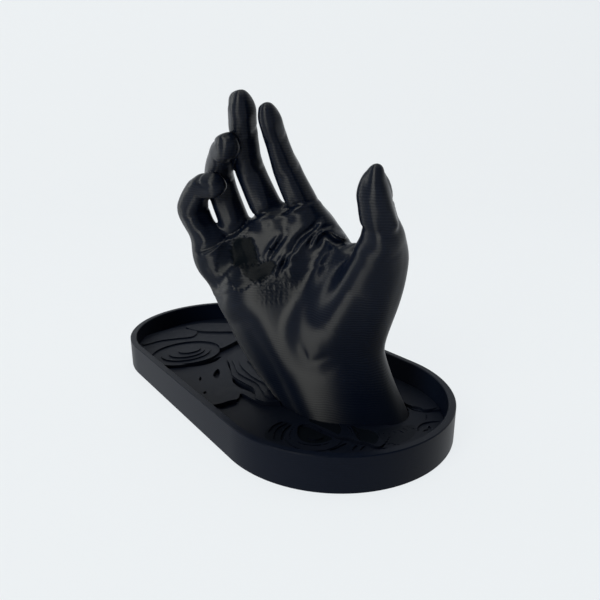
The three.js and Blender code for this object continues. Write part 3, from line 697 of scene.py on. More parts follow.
def hand_distance(p, detail=1.0):
    """Distance from the hand, below zero inside: the palm with its swellings, joined to each
    finger and the thumb by rounded valleys, with ridges and the palm's relief on its skin."""
    body = palm_distance(p)
    for middle, half, turn, blend in SWELLINGS.values():
        body = smooth_least(body, ellipsoid_distance(p, middle, np.array(half, float), turn), blend)
    whole = body.copy()
    for limb in HAND_LIMBS:
        near = near_line(p, limb.line, limb.sizes.max() + 8)
        joined = smooth_least(body[near], limb.distance(p[near], detail), LIMB_BLEND)
        whole[near] = smooth_least(whole[near], joined, NEIGHBOUR_BLEND)
    near = near_line(p, THUMB.line, THUMB.sizes.max() + 12)
    whole[near] = smooth_least(whole[near], THUMB.distance(p[near], detail), LIMB_BLEND)
    for points, sizes, blend in RIDGES.values():
        line = np.array(points, float)
        near = near_line(p, line, max(sizes) + blend + 2)
        ridge = nearest_on_line(p[near], line, np.array(sizes, float))[3]
        whole[near] = smooth_least(whole[near], ridge, blend)
    bevel = (p - np.array(BEVEL_POINT, float)) @ np.array(BEVEL_FACING, float)
    bevel -= BEVEL_BACK * smooth_step((p[:, 2] - BEVEL_HEIGHT) / BEVEL_RISE)
    whole = -smooth_least(-whole, -bevel, BEVEL_BLEND)
    near = np.flatnonzero((np.abs(whole) < 12) & (p[:, 2] < PALM_TOP) & (p[:, 0] < PALM_END))
    x, y, z = p[near].T
    middle = palm_size(z, 2)
    palm_side = smooth_step((middle + 1 - y) / PALM_FADE)
    whole[near] -= detail * palm_relief(x, z) * palm_side
    for outline, _ in PATCHES:
        whole[near] += PATCH_STEP * detail * palm_side * patch_share(x, z, outline)
    return whole


def patch_share(x, z, outline):
    """How much of a patch there is at a place of the palm: 1 inside it, falling to 0 in a narrow,
    ragged band about its outline."""
    inset = outline_inset(np.stack([x, z], 1), np.array(outline))
    ragged = 0.35 * np.sin(2.9 * x + 1.7 * z) + 0.25 * np.sin(4.3 * z - 2.1 * x)
    return smooth_step(0.5 + (inset + ragged) / PATCH_EDGE)


def dullness(p):
    """How dull the skin is at points of the hand, from 0 to 1: high on the patches and a little
    on the rough scar beside them."""
    x, y, z = p.T
    middle = palm_size(z, 2)
    dull = np.zeros(len(p))
    for outline, share in PATCHES:
        dull = np.maximum(dull, share * patch_share(x, z, outline))
    dull = np.maximum(dull, SCAR_DULLNESS * scar_share(x, z))
    return dull * (y < middle) * (z > 55) * (z < 105)


def surface_net(distance, low, high, cell):
    """Meshes the surface distance = 0 with one point in each cell that it crosses, at the mean
    of its crossings of the cell's edges, and one quad round each crossed edge of the grid. The
    field is worked out in full only near the surface, which a grid three times coarser finds."""
    size = (np.ceil((high - low) / cell / 3) * 3).astype(int) + 1
    coarse_axes = [low[k] + np.arange(0, size[k], 3) * cell for k in range(3)]
    coarse = np.stack(np.meshgrid(*coarse_axes, indexing="ij"), -1)
    rough = distance(coarse.reshape(-1, 3)).reshape(coarse.shape[:3])
    field = rough.repeat(3, 0).repeat(3, 1).repeat(3, 2)[:size[0], :size[1], :size[2]].copy()
    near = np.flatnonzero(np.abs(field).ravel() < 4.5 * cell)
    index = np.stack(np.unravel_index(near, field.shape), 1)
    field.ravel()[near] = distance(low + index * cell)
    total = np.zeros(tuple(size - 1) + (3,), np.float32)
    number = np.zeros(tuple(size - 1), np.float32)
    crossings = []
    for axis in range(3):
        ahead = [slice(None)] * 3
        behind = [slice(None)] * 3
        ahead[axis], behind[axis] = slice(1, None), slice(None, -1)
        first, second = field[tuple(behind)], field[tuple(ahead)]
        spots = np.stack(np.nonzero((first < 0) != (second < 0)), 1)
        a, b = first[tuple(spots.T)], second[tuple(spots.T)]
        where = spots.astype(np.float32)
        where[:, axis] += a / (a - b)
        crossings.append((axis, spots, a < 0))
        sides = [k for k in range(3) if k != axis]
        for back in ((0, 0), (0, 1), (1, 0), (1, 1)):
            cells = spots.copy()
            cells[:, sides[0]] -= back[0]
            cells[:, sides[1]] -= back[1]
            fits = ((cells >= 0) & (cells < size - 1)).all(axis=1)
            np.add.at(total, tuple(cells[fits].T), where[fits])
            np.add.at(number, tuple(cells[fits].T), 1)
    used = np.nonzero(number)
    label = np.full(number.shape, -1)
    label[used] = np.arange(len(used[0]))
    points = low + total[used] / number[used][:, None] * cell
    quads = []
    for axis, spots, outward in crossings:
        u, v = (axis + 1) % 3, (axis + 2) % 3
        fits = (spots[:, u] > 0) & (spots[:, v] > 0)
        fits &= (spots[:, u] < size[u] - 1) & (spots[:, v] < size[v] - 1)
        spots, outward = spots[fits], outward[fits]
        ring = []
        for du, dv in ((1, 1), (0, 1), (0, 0), (1, 0)):
            cells = spots.copy()
            cells[:, u] -= du
            cells[:, v] -= dv
            ring.append(label[tuple(cells.T)])
        ring = np.stack(ring, 1)
        quads.append(np.where(outward[:, None], ring, ring[:, ::-1]))
    quads = np.concatenate(quads)
    faces = np.concatenate([quads[:, [0, 1, 2]], quads[:, [0, 2, 3]]])
    return points, faces


def pull_to_surface(distance, points, rounds=3, step=0.1):
    """Moves points along the field's slope until its value there is zero."""
    for _ in range(rounds):
        rise = [distance(points + step * axis) - distance(points - step * axis) for axis in np.eye(3)]
        slope = np.stack(rise, 1) / (2 * step)
        size = np.maximum((slope**2).sum(axis=1), 0.05)
        points = points - (distance(points) / size)[:, None] * slope
    return points


# Materials

# The three black prints: how rough, the height of a drawn layer in millimetres, how far the
# layers draw a highlight out up and down, its strength, and how much the layers ripple it. A
# real layer of 0.2 mm is too fine to show, so layers are drawn about 1 mm high
PRINTS = {
    "tray": dict(roughness=0.42, layer=0.982, spread=0.3, gloss=0.08, ripple=0.1),
    "relief": dict(roughness=0.56, layer=0.982, spread=0.3, gloss=0.11, ripple=0.1),
    "hand": dict(roughness=0.43, layer=1.1424, spread=1.0, gloss=0.26, ripple=0.28),
}

# How far the layers swing the roughness, the share of its gloss that scuffed print keeps, sizes of
# the surface's grain, of the places where layers show and of a bump's height in millimetres, and
# the length in which a wave texture of scale 1 turns once
ROUGHNESS_SWING, SCUFFED_GLOSS = 0.04, 0.12
GRAIN_SIZE, PLACE_SIZE, BUMP_HEIGHT = 1.1111, 18.182, 0.05
WAVE_UNIT = pi / 10

# The share of its own plain colour that the backdrop shows to the camera
BACKDROP_SHARE = 0.92


def add_node(tree, kind, links=(), **settings):
    """Adds a node, sets its properties and socket values, and links (socket, output) pairs."""
    node = tree.nodes.new(kind)
    for name, value in settings.items():
        if hasattr(node, name):
            setattr(node, name, value)
        else:
            node.inputs[name.replace("_", " ")].default_value = value
    for socket, output in links:
        tree.links.new(node.inputs[socket], output)
    return node


def new_material(name):
    """An empty material with its shader and output."""
    material = bpy.data.materials.new(name)
    material.use_nodes = True
    tree = material.node_tree
    tree.nodes.clear()
    shader = add_node(tree, "ShaderNodeBsdfPrincipled")
    add_node(tree, "ShaderNodeOutputMaterial", links=[("Surface", shader.outputs[0])])
    return material, tree, shader


def print_layers(tree, place, layer):
    """Level bands as high as a layer, a little wavy, which fade to an even grey in patches: a
    wave texture turns once in WAVE_UNIT over its scale."""
    wave = add_node(tree, "ShaderNodeTexWave", [("Vector", place)], bands_direction="Z",
                    Scale=WAVE_UNIT / (layer * MM), Distortion=8.0, Detail=2.0, Detail_Scale=0.35)
    patchy = add_node(tree, "ShaderNodeTexNoise", [("Vector", place)],
                      Scale=1 / (PLACE_SIZE * MM), Detail=1.0)
    strong = add_node(tree, "ShaderNodeMapRange", [("Value", patchy.outputs[0])],
                      interpolation_type="SMOOTHSTEP", From_Min=0.35, From_Max=0.65, To_Min=0.12)
    layers = add_node(tree, "ShaderNodeMix", [("Factor", strong.outputs[0]), ("B", wave.outputs["Fac"])])
    layers.inputs["A"].default_value = 0.5
    return layers.outputs["Result"]


def black_print(colours, piece):
    """Black filament print: a satin near-black plastic whose fine layers, each pressed on the
    last, band its gloss, catch the light as thin level lines and draw a highlight out up and
    down. Where supports broke off, it is scuffed: duller and less blue."""
    finish = PRINTS[piece]
    roughness, gloss, ripple = finish["roughness"], finish["gloss"], finish["ripple"]
    material, tree, shader = new_material("black_print_" + piece)
    place = add_node(tree, "ShaderNodeTexCoord").outputs["Object"]
    layers = print_layers(tree, place, finish["layer"])
    satin = add_node(tree, "ShaderNodeMapRange", [("Value", layers)],
                     To_Min=roughness - ROUGHNESS_SWING, To_Max=roughness + ROUGHNESS_SWING)
    tree.links.new(shader.inputs["Roughness"], satin.outputs[0])

    lines = add_node(tree, "ShaderNodeBump", [("Height", layers)], Strength=0.3, Distance=BUMP_HEIGHT * MM)
    grain = add_node(tree, "ShaderNodeTexNoise", [("Vector", place)],
                     Scale=1 / (GRAIN_SIZE * MM), Detail=3.0)
    fine = add_node(tree, "ShaderNodeBump", [("Height", grain.outputs[0]), ("Normal", lines.outputs[0])],
                    Strength=0.15, Distance=BUMP_HEIGHT * MM)
    tree.links.new(shader.inputs["Normal"], fine.outputs[0])
    upright = add_node(tree, "ShaderNodeCombineXYZ", Z=1.0)
    tree.links.new(shader.inputs["Tangent"], upright.outputs[0])
    shader.inputs["Anisotropic"].default_value = finish["spread"]

    dull = add_node(tree, "ShaderNodeAttribute", attribute_name="dullness").outputs["Fac"]
    shine = add_node(tree, "ShaderNodeMapRange", [("Value", layers)],
                     To_Min=gloss * (1 - ripple), To_Max=gloss * (1 + ripple))
    kept = add_node(tree, "ShaderNodeMapRange", [("Value", dull)], To_Min=1.0, To_Max=SCUFFED_GLOSS)
    level = add_node(tree, "ShaderNodeMath", [(0, shine.outputs[0]), (1, kept.outputs[0])],
                     operation="MULTIPLY")
    tree.links.new(shader.inputs["Specular IOR Level"], level.outputs[0])
    tint = add_node(tree, "ShaderNodeMix", [("Factor", dull)], data_type="RGBA")
    tint.inputs["A"].default_value = (*colours.filament, 1)
    tint.inputs["B"].default_value = (*colours.scuffed, 1)
    tree.links.new(shader.inputs["Base Color"], tint.outputs["Result"])
    return material


def zinc_plated_steel(colours):
    """Zinc plated steel, as on small screws: a pale grey metal with a soft shine."""
    material, _, shader = new_material("zinc_plated_steel")
    shader.inputs["Base Color"].default_value = (*colours.steel, 1)
    shader.inputs["Metallic"].default_value = 1
    shader.inputs["Roughness"].default_value = 0.35
    return material


def moulded_rubber(colours):
    """Moulded rubber, as of stick-on feet: near black and matt."""
    material, _, shader = new_material("moulded_rubber")
    shader.inputs["Base Color"].default_value = (*colours.rubber, 1)
    shader.inputs["Roughness"].default_value = 0.85
    return material


def backdrop_paper(colours):
    """Pale backdrop paper. It is matt and takes the stand's shadow, and to the camera and in
    glossy or clear surfaces it shows mostly in its own colour."""
    material, tree, shader = new_material("backdrop_paper")
    shader.inputs["Base Color"].default_value = (*colours.backdrop, 1)
    shader.inputs["Roughness"].default_value = 0.9
    shader.inputs["Specular IOR Level"].default_value = 0.2
    light = add_node(tree, "ShaderNodeLightPath").outputs
    seen = add_node(tree, "ShaderNodeMath", [(0, light["Is Camera Ray"]), (1, light["Is Glossy Ray"])],
                    operation="ADD")
    clear = add_node(tree, "ShaderNodeMath", [(0, seen.outputs[0]), (1, light["Is Transmission Ray"])],
                     operation="ADD")
    share = add_node(tree, "ShaderNodeMath", [(0, clear.outputs[0])], operation="MULTIPLY")
    share.inputs[1].default_value = BACKDROP_SHARE
    glow = add_node(tree, "ShaderNodeEmission", Color=(*colours.backdrop, 1), Strength=1.0)
    mix = add_node(tree, "ShaderNodeMixShader",
                   [(0, share.outputs[0]), (1, shader.outputs[0]), (2, glow.outputs[0])])
    tree.links.new(tree.nodes["Material Output"].inputs["Surface"], mix.outputs[0])
    return material


# Pieces


def tray_net():
    """Points on rays from the line between the arcs' middles, at set insets from the outline: so
    many rays round each arc and along each straight side, and so many rings inside the wall."""
    arc, straight, rings = 60, 48, 24
    turn = np.linspace(-pi / 2, pi / 2, arc, endpoint=False)
    run = np.linspace(ARC_REACH, -ARC_REACH, straight, endpoint=False)
    right = np.stack([np.full(arc, ARC_REACH), np.zeros(arc), np.cos(turn), np.sin(turn)], 1)
    far = np.stack([run, np.zeros(straight), np.zeros(straight), np.ones(straight)], 1)
    rays = np.concatenate([right, far, -right, -far])
    wall = [0, EDGE_BREAK, WALL - EDGE_BREAK]
    insets = np.concatenate([wall, np.linspace(WALL, TRAY_WIDTH / 2, rings)])
    reach = TRAY_WIDTH / 2 - insets
    points = rays[None, :, :2] + reach[:, None, None] * rays[None, :, 2:]
    return join_same(points.reshape(-1, 2), ring_faces(len(insets), len(rays)))


def node_middle(name):
    """The middle of a node's box, seen from above."""
    low, high = (np.array(corner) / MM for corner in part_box(name))
    return (low + high)[:2] / 2


class STAND_OT_tray(bpy.types.Operator):
    """Builds the tray with its wall, boss, screw holes and foot pockets"""
    bl_idname = "stand.tray"
    bl_label = "Tray"

    def execute(self, context):
        points, faces = tray_net()
        plate = Plate(points, faces, TRAY_LOW[2], FLOOR_TOP)
        inset = stadium_inset(plate.points)[plate.faces]
        wall = inset.mean(axis=1) < WALL
        rim = TRAY_HIGH[2] - np.maximum(0, EDGE_BREAK - inset) - np.maximum(0, inset - WALL + EDGE_BREAK)
        plate.top[wall] = rim[wall]
        plate.bottom = TRAY_LOW[2] + np.maximum(0, EDGE_BREAK - inset)
        boss = plate.cut(oval_inset(plate.points, HAND_PLACE, BOSS_LENGTH / 2, BOSS_WIDTH / 2, HAND_TURN))
        plate.top[boss] = FLOOR_TOP + BOSS_HEIGHT
        for name in FEET:
            pocket = plate.cut(round_inset(plate.points, node_middle(name), FOOT_RADIUS + FIT))
            plate.bottom[pocket] = FOOT_TOP + FIT
        for name in SCREWS:
            middle = node_middle(name)
            head = plate.cut(round_inset(plate.points, middle, SCREW_HEAD_RADIUS + FIT))
            plate.bottom[head] = TRAY_LOW[2] + SCREW_RECESS_DEPTH
            bore = plate.cut(round_inset(plate.points, middle, SCREW_RADIUS + FIT))
            plate.keep(~bore)
        points, faces, _ = plate.skin()
        material = black_print(context.scene.stand_colours, "tray")
        put_mesh("stand_tray", points, faces, material, "tray")
        return {"FINISHED"}


# The far knot's middle, and the wrist's, from which the relief's other places are measured
KNOT = np.array([-50.5, -26.5])
WRIST = HAND_PLACE[:2]

# Levels of the relief above the table
PIT, LOW, PLAIN, RING, PLATEAU = 2.9, 3.6, 5.3, 7, 7.9

# The knot before the wrist: its sunken core and the two duller parts beyond the crack
KNOT_CORE = [(5.2, -31.7), (2.2, -28.5), (2.5, -25.8), (6.4, -24.3), (12.1, -23.1), (17.9, -22.2),
             (19.5, -23.5), (19.8, -27.1), (18.8, -30.6), (16.6, -33.3), (13, -34.8), (9.1, -34.1)]
KNOT_UPPER = [(-0.5, -20.1), (1, -16.5), (6.6, -12.7), (11.7, -12.8), (15.9, -15.1), (18.6, -19),
              (15.7, -19.6), (10.1, -20.8), (5.6, -21.8), (2.4, -22.2)]
KNOT_RIGHT = [(16.5, -9.2), (19.4, -8.2), (25, -4.9), (29.4, -5.3), (32.2, -8.3), (33.6, -11.8),
              (30.7, -13.4), (28.2, -15), (22.7, -13)]

# Parts of the ground by outline, and how dull they are: their gloss is lowered and their colour greyed,
# which makes them darker
DULLED_PARTS = [(KNOT_CORE, 0.9), (KNOT_UPPER, 0.8), (KNOT_RIGHT, 0.8),
               ([(27, -3.6), (28.5, 4), (32, 14), (38.4, 8.2), (40.2, -0.2), (37, -7)], 0.35),
               ([(-6, -32), (-4, -42), (2, -46), (7, -43), (3, -36), (-1, -30)], 0.5)]

# Cracks and grain lines round the wrist, by greatest width and points: the crack through the
# knot, the lines and ticks round it, then those on the wrist's far side and near the wall
GRAIN_LINES = [
    (1.7, [(1.7, -26.7), (5.7, -23.7), (11.6, -22.6), (17.4, -21.7), (20.7, -21.1), (25, -17.4),
           (28.5, -16.6), (31.7, -14.3), (34.8, -13.7), (37, -11.3), (35.8, -7.4), (33.1, -1.7)]),
    (2, [(-5.7, -31.4), (-4.6, -37), (-1.6, -42.6)]), (2.2, [(-3.4, -30.9), (-1, -37.7), (4.4, -43.6)]),
    (1.8, [(-1.3, -30.1), (1.9, -36), (7.5, -42)]), (0.9, [(1.3, -29.7), (4.7, -35.2), (11.2, -39.6)]),
    (0.9, [(10, -36.2), (14.3, -36.4), (18.3, -33.6), (20.8, -29.4), (21.5, -24.5)]),
    (1.8, [(25.3, -29.9), (26.2, -25.8), (25.2, -19.8)]), (1.6, [(31.3, -22.2), (29.3, -17.5)]),
    (1.4, [(33.1, -19.4), (31.6, -14.5)]), (0.9, [(10.8, -10.2), (19.6, -12.3), (23.9, -15.8)]),
    (0.9, [(14.1, -8.9), (21.5, -10.4), (28.3, -15.2)]), (0.8, [(7.4, -30.4), (10.6, -31.4), (12.6, -33)]),
    (0.8, [(6.4, -28), (11, -26.6), (13.6, -24.6)]),
    (0.7, [(27.5, -3.6), (31.5, -5.8)]), (0.7, [(28, -1.6), (33, -4.2)]), (0.7, [(28.6, 0.4), (33.8, -1.6)]),
    (0.7, [(29.4, 2.6), (34.6, 1.4)]), (0.7, [(30.4, 5), (35.4, 4.6)]), (0.7, [(31.2, 7.4), (36, 7.8)]),
    (0.7, [(31.8, 10), (36.4, 11.4)]), (0.7, [(36.4, -8.6), (38.6, -4.4)]),
    (0.7, [(38.4, -7.4), (40.4, -2.6)]),
    (1.2, [(14.7, 26.1), (21.2, 24.6), (27.2, 27.7), (29.1, 32.7), (28.3, 35.9)]),
    (0.9, [(28.1, 27.4), (30.8, 24.6), (32.9, 21.2)]),
    (1.9, [(37.3, 27.1), (34.6, 20.5), (35.1, 15.2), (37.9, 10.3)]),
    (1.5, [(36.6, 19.8), (39, 16.6), (39.2, 12.4)]),
    (0.8, [(34, -34), (38.6, -27), (42, -18.6)]), (0.8, [(39.4, -31), (43.6, -22), (46, -12)]),
]


def blob(start, corners):
    """A closed curve through corners."""
    return start + curve_points(np.array(corners, float), 8, closed=True)


def stroke(start, corners, width):
    """The outline of a line of a given greatest width that narrows to both ends."""
    line = curve_points(np.array(corners, float), 5)
    slope = np.gradient(line, axis=0)
    slope /= np.linalg.norm(slope, axis=1)[:, None]
    half = width / 2 * np.sin(np.linspace(0.12, 0.88, len(line)) * pi)
    side = np.stack([-slope[:, 1], slope[:, 0]], 1) * half[:, None]
    return start + np.concatenate([line + side, (line - side)[::-1]])


def ring(start, x, y, half_x, half_y, turn=0):
    """An ellipse of 64 points."""
    t = np.arange(64) * 2 * pi / 64
    c, s = cos(radians(turn)), sin(radians(turn))
    u, v = half_x * np.cos(t), half_y * np.sin(t)
    return start + np.stack([x + u * c - v * s, y + u * s + v * c], 1)


def relief_plates(step):
    """Outlines with their levels, in the order in which a later one covers an earlier one."""
    return [
        # The plateau beyond the far knot with its two raised parts, then the knot's rings
        (blob(KNOT, [(2, 34), (5, 26), (7, 19), (3, 4), (0, -14), (-4, -30), (-24, -26), (-38, -14),
                     (-43, 6), (-41, 28), (-30, 46), (-12, 56), (4, 50)]), PLATEAU),
        (blob(KNOT, [(-20, 14), (-22.5, 4), (-25, -5), (-24.5, -17), (-32, -12), (-37, 2), (-34, 16),
                     (-27, 20)]), PLATEAU + step),
        (blob(KNOT, [(-8, 46), (-12, 38), (-18.5, 29), (-26.5, 21), (-33, 18), (-39, 18), (-38, 30),
                     (-28, 42), (-16, 50)]), PLATEAU + step * 1.4),
        (ring(KNOT, 0, 0, 16, 20.5), RING),
        (ring(KNOT, -0.2, 0, 11.8, 14.8), RING + step),
        (ring(KNOT, 0.4, 0.2, 8.4, 10.8), RING + 2 * step),
        (ring(KNOT, 0.4, 2, 5, 6.8), RING + 3 * step),
        # Four terraces that climb to the wrist
        (blob(WRIST, [(-82, -18.5), (-74.7, -21.7), (-66.7, -24.7), (-58, -28), (-46.4, -27.5),
                      (-39.4, -27), (-34, -29), (-28, -32), (-20, -27), (-16, -8), (-28, 10),
                      (-52, 22), (-76, 14), (-88, -4)]), PLAIN + step),
        (blob(WRIST, [(-79.4, -15.8), (-69.4, -20.8), (-59.4, -24.3), (-52.4, -24.3), (-41.4, -23.3),
                      (-32.4, -25.8), (-24, -27), (-19, -8), (-30, 6), (-52, 16),
                      (-74, 9)]), PLAIN + 2 * step),
        (blob(WRIST, [(-76, -12), (-67.8, -18.2), (-57.8, -20.7), (-47.8, -21.6), (-37.8, -21.1),
                      (-29, -22.6), (-22, -8), (-32, 3), (-52, 10), (-70, 4)]), PLAIN + 3 * step),
        (blob(WRIST, [(-68.3, -12.9), (-61.3, -14.4), (-51.3, -16.9), (-41.3, -18.4), (-28, -19),
                      (-26, -8), (-40, 0), (-56, 2), (-66, -4)]), PLAIN + 4 * step),
        # The low ground round the wrist, with the near knot and what lies about it
        (blob(WRIST, [(-39, -34.5), (-35.2, -38.5), (-35.4, -46), (-37, -64), (0, -75), (48, -60),
                      (75, -10), (60, 60), (10, 60), (-20, 48), (-34, 30), (-20, 6), (-14, -10),
                      (-24, -31)]), LOW),
        (ring(WRIST, 12, -28, 13, 12.5, 20), LOW + 0.5 * step),
        (blob(WRIST, KNOT_CORE), PIT),
        (blob(WRIST, [(12, -31.2), (15.4, -29.4), (16, -26), (14.4, -24.8),
                      (13.4, -27.6)]), LOW + 0.3 * step),
        (blob(WRIST, [(3, -25), (10, -22), (18, -21), (24, -17.5), (31.7, -14.3), (37, -11.6), (44, -4),
                      (50, 6), (44, 16), (34, 12), (24, 2), (12, -8), (0, -16)]), LOW + 0.8 * step),
        (blob(WRIST, KNOT_UPPER), LOW + 0.2 * step),
        (blob(WRIST, KNOT_RIGHT), LOW + 0.2 * step),
        (blob(WRIST, [(-14, 52), (0, 34), (11, 27), (16, 25.5), (21, 26), (24, 28), (27, 27.5), (29.5, 31),
                      (32, 40), (20, 60)]), LOW + 1.5 * step),
        # Pits: beside the far knot, under the terraces and in the plain ground
        (blob(KNOT, [(12.8, 16.5), (17.2, 11), (18.6, 5), (17.4, -2.5), (13, -9.5), (14.8, -3), (15.4, 4),
                     (14.2, 10)]), PIT),
        (blob(WRIST, [(-58.5, -28.2), (-52.7, -31.2), (-44.7, -31.7), (-36.7, -29.7), (-31.7, -30.2),
                      (-39, -27.6), (-46.4, -28.2), (-53, -28.8)]), PIT),
        (blob(WRIST, [(-81.5, -18.7), (-73, -22.8), (-64, -26), (-73.5, -21.6)]), PIT),
        (blob(WRIST, [(-73, -29.3), (-67.5, -31), (-61.5, -36), (-66.5, -35.8)]), PIT),
        (blob(WRIST, [(-70, -41.5), (-66.5, -42.6), (-63.5, -45), (-67, -44)]), PIT),
        (ring(WRIST, -50.6, -48.7, 1.6, 0.9, -35), PIT),
        (blob(WRIST, [(-34.8, -39.5), (-32.4, -41), (-32.4, -48.5), (-35, -49)]), PIT),
        *((stroke(WRIST, corners, width), PIT) for width, corners in GRAIN_LINES),
    ]


# How far rows of the relief's grid are shaken, as a share of its cell, so that no outline runs
# along one, and how far from the wrist the hole's walls still lean with it
GRID_SHAKE = 0.37
SLANT_REACH = 4


class STAND_OT_relief_floor(bpy.types.Operator):
    """Builds the tray's floor plate with its stepped wood-grain relief"""
    bl_idname = "stand.relief_floor"
    bl_label = "Relief floor"

    def execute(self, context):
        sizes = context.scene.stand_sizes
        cell = sizes.relief_cell
        low, high = RELIEF_LOW[:2] - cell, RELIEF_HIGH[:2] + cell
        across = [np.arange(low[k], high[k] + cell, cell) for k in range(2)]
        x, y = np.meshgrid(*across, indexing="ij")
        y = y + cell * GRID_SHAKE * np.sin(x * 7.3)
        rows, columns = x.shape
        corner = (np.arange(rows - 1)[:, None] * columns + np.arange(columns - 1)).ravel()
        faces = np.concatenate([np.stack([corner, corner + columns, corner + columns + 1], 1),
                                np.stack([corner, corner + columns + 1, corner + 1], 1)])
        plate = Plate(np.stack([x.ravel(), y.ravel()], 1), faces, RELIEF_LOW[2], PLAIN)
        plate.keep(plate.cut(stadium_inset(plate.points) - WALL - FIT))
        section = np.column_stack([plate.points, np.full(len(plate.points), LOW)])
        plate.keep(plate.cut(hand_distance(to_hand(section)) - 2 * FIT))
        for outline, level in relief_plates(sizes.terrace):
            inside = plate.cut(outline_inset(plate.points, outline))
            plate.top[inside] = level
        for outline, share in DULLED_PARTS:
            inside = plate.cut(outline_inset(plate.points, blob(WRIST, outline)))
            plate.dull[inside] = share
        points, faces, dull = plate.skin()
        section = np.column_stack([points[:, :2], np.full(len(points), LOW)])
        near = np.clip(1 - (hand_distance(to_hand(section)) - 2 * FIT) / SLANT_REACH, 0, 1)
        slant = np.array([-cos(HAND_TURN), -sin(HAND_TURN)]) * np.tan(HAND_LEAN)
        points[:, :2] += (near * (points[:, 2] - LOW))[:, None] * slant
        material = black_print(context.scene.stand_colours, "relief")
        piece = put_mesh(
            "stand_relief_floor", points, faces, material, "relief_floor", sharp=30)
        mark = piece.data.attributes.new("dullness", "FLOAT", "CORNER")
        mark.data.foreach_set("value", np.repeat(dull, 3).astype(np.float32))
        return {"FINISHED"}


# The room that is searched for the hand's surface: round the lines of its limbs, to both sides of
# the palm, behind it, and down to where the wrist starts
LIMB_ROOM, PALM_ROOM, BACK_ROOM, WRIST_START = 10, 42, 34, -14


class STAND_OT_hand(bpy.types.Operator):
    """Builds the open hand"""
    bl_idname = "stand.hand"
    bl_label = "Hand"

    def execute(self, context):
        sizes = context.scene.stand_sizes
        shape = lambda p: hand_distance(p, sizes.crease_depth)
        lines = [*(limb.line for limb in HAND_LIMBS), THUMB.line, PALM_SECTIONS[:, [1, 2, 0]]]
        reach = np.concatenate(lines)
        low, high = reach.min(axis=0) - LIMB_ROOM, reach.max(axis=0) + LIMB_ROOM
        low[0], high[0] = min(low[0], -PALM_ROOM), max(high[0], PALM_ROOM)
        low[2], high[1] = WRIST_START, BACK_ROOM
        points, faces = surface_net(shape, low, high, sizes.hand_cell)
        points = from_hand(pull_to_surface(shape, points))
        base = RELIEF_LOW[2]
        height = np.where(np.abs(points[:, 2] - base) < 0.05, 0, points[:, 2] - base)
        points, faces, _, height = split_along(points, faces, height)
        faces = faces[height[faces].max(axis=1) > 0]
        points, faces = close_base(points, faces, height)
        material = black_print(context.scene.stand_colours, "hand")
        piece = put_mesh("stand_hand", points, faces, material, "hand", sharp=60)
        dull = piece.data.attributes.new("dullness", "FLOAT", "POINT")
        dull.data.foreach_set("value", dullness(to_hand(points)).astype(np.float32))
        return {"FINISHED"}


def close_base(points, faces, height):
    """Closes the wrist's cut with a flat ring, a socket wall that runs up round the tray's boss
    and the socket's roof, all following the cut's own points by their angle round the boss."""
    used, which = np.unique(faces, return_inverse=True)
    points, height, faces = points[used], height[used], which.reshape(-1, 3)
    edges = np.concatenate([faces[:, [0, 1]], faces[:, [1, 2]], faces[:, [2, 0]]])
    code, back = edges[:, 0] * len(points) + edges[:, 1], edges[:, 1] * len(points) + edges[:, 0]
    rim = edges[~np.isin(code, back)]
    offset = points[rim[:, 0], :2] - HAND_PLACE[:2]
    c, s = cos(HAND_TURN), sin(HAND_TURN)
    u, v = offset[:, 0] * c + offset[:, 1] * s, offset[:, 1] * c - offset[:, 0] * s
    length = 1 / np.hypot(u / (BOSS_LENGTH / 2 + FIT), v / (BOSS_WIDTH / 2 + FIT))
    oval = HAND_PLACE[:2] + offset * length[:, None]
    roof = FLOOR_TOP + BOSS_HEIGHT + FIT
    count = len(rim)
    low_ring = np.column_stack([oval, np.full(count, points[rim[:, 0], 2].mean())])
    high_ring = np.column_stack([oval, np.full(count, roof)])
    middle = np.array([[*HAND_PLACE[:2], roof]])
    start = len(points)
    label = np.full(len(points), -1)
    label[rim[:, 0]] = np.arange(count)
    a, b = rim[:, 0], rim[:, 1]
    low_a, low_b = start + label[a], start + label[b]
    high_a, high_b = low_a + count, low_b + count
    peak = np.full(count, start + 2 * count)
    closing = np.concatenate([
        np.stack([b, a, low_a], 1), np.stack([b, low_a, low_b], 1),
        np.stack([low_b, low_a, high_a], 1), np.stack([low_b, high_a, high_b], 1),
        np.stack([high_b, high_a, peak], 1)])
    return np.concatenate([points, low_ring, high_ring, middle]), np.concatenate([faces, closing])


def turned(profile, sides, middle, shape=None):
    """A profile of (radius, height) rows carried round an upright axis. shape(angle, radius,
    height) may change the radius at each point."""
    profile = np.array(profile, float)
    angle = np.arange(sides) * 2 * pi / sides
    radius, height = (profile[:, k, None] + 0 * angle for k in range(2))
    if shape:
        radius = shape(angle + 0 * radius, radius, height)
    points = np.stack([middle[0] + radius * np.cos(angle), middle[1] + radius * np.sin(angle), height], 2)
    return join_same(points.reshape(-1, 3), ring_faces(len(profile), sides))


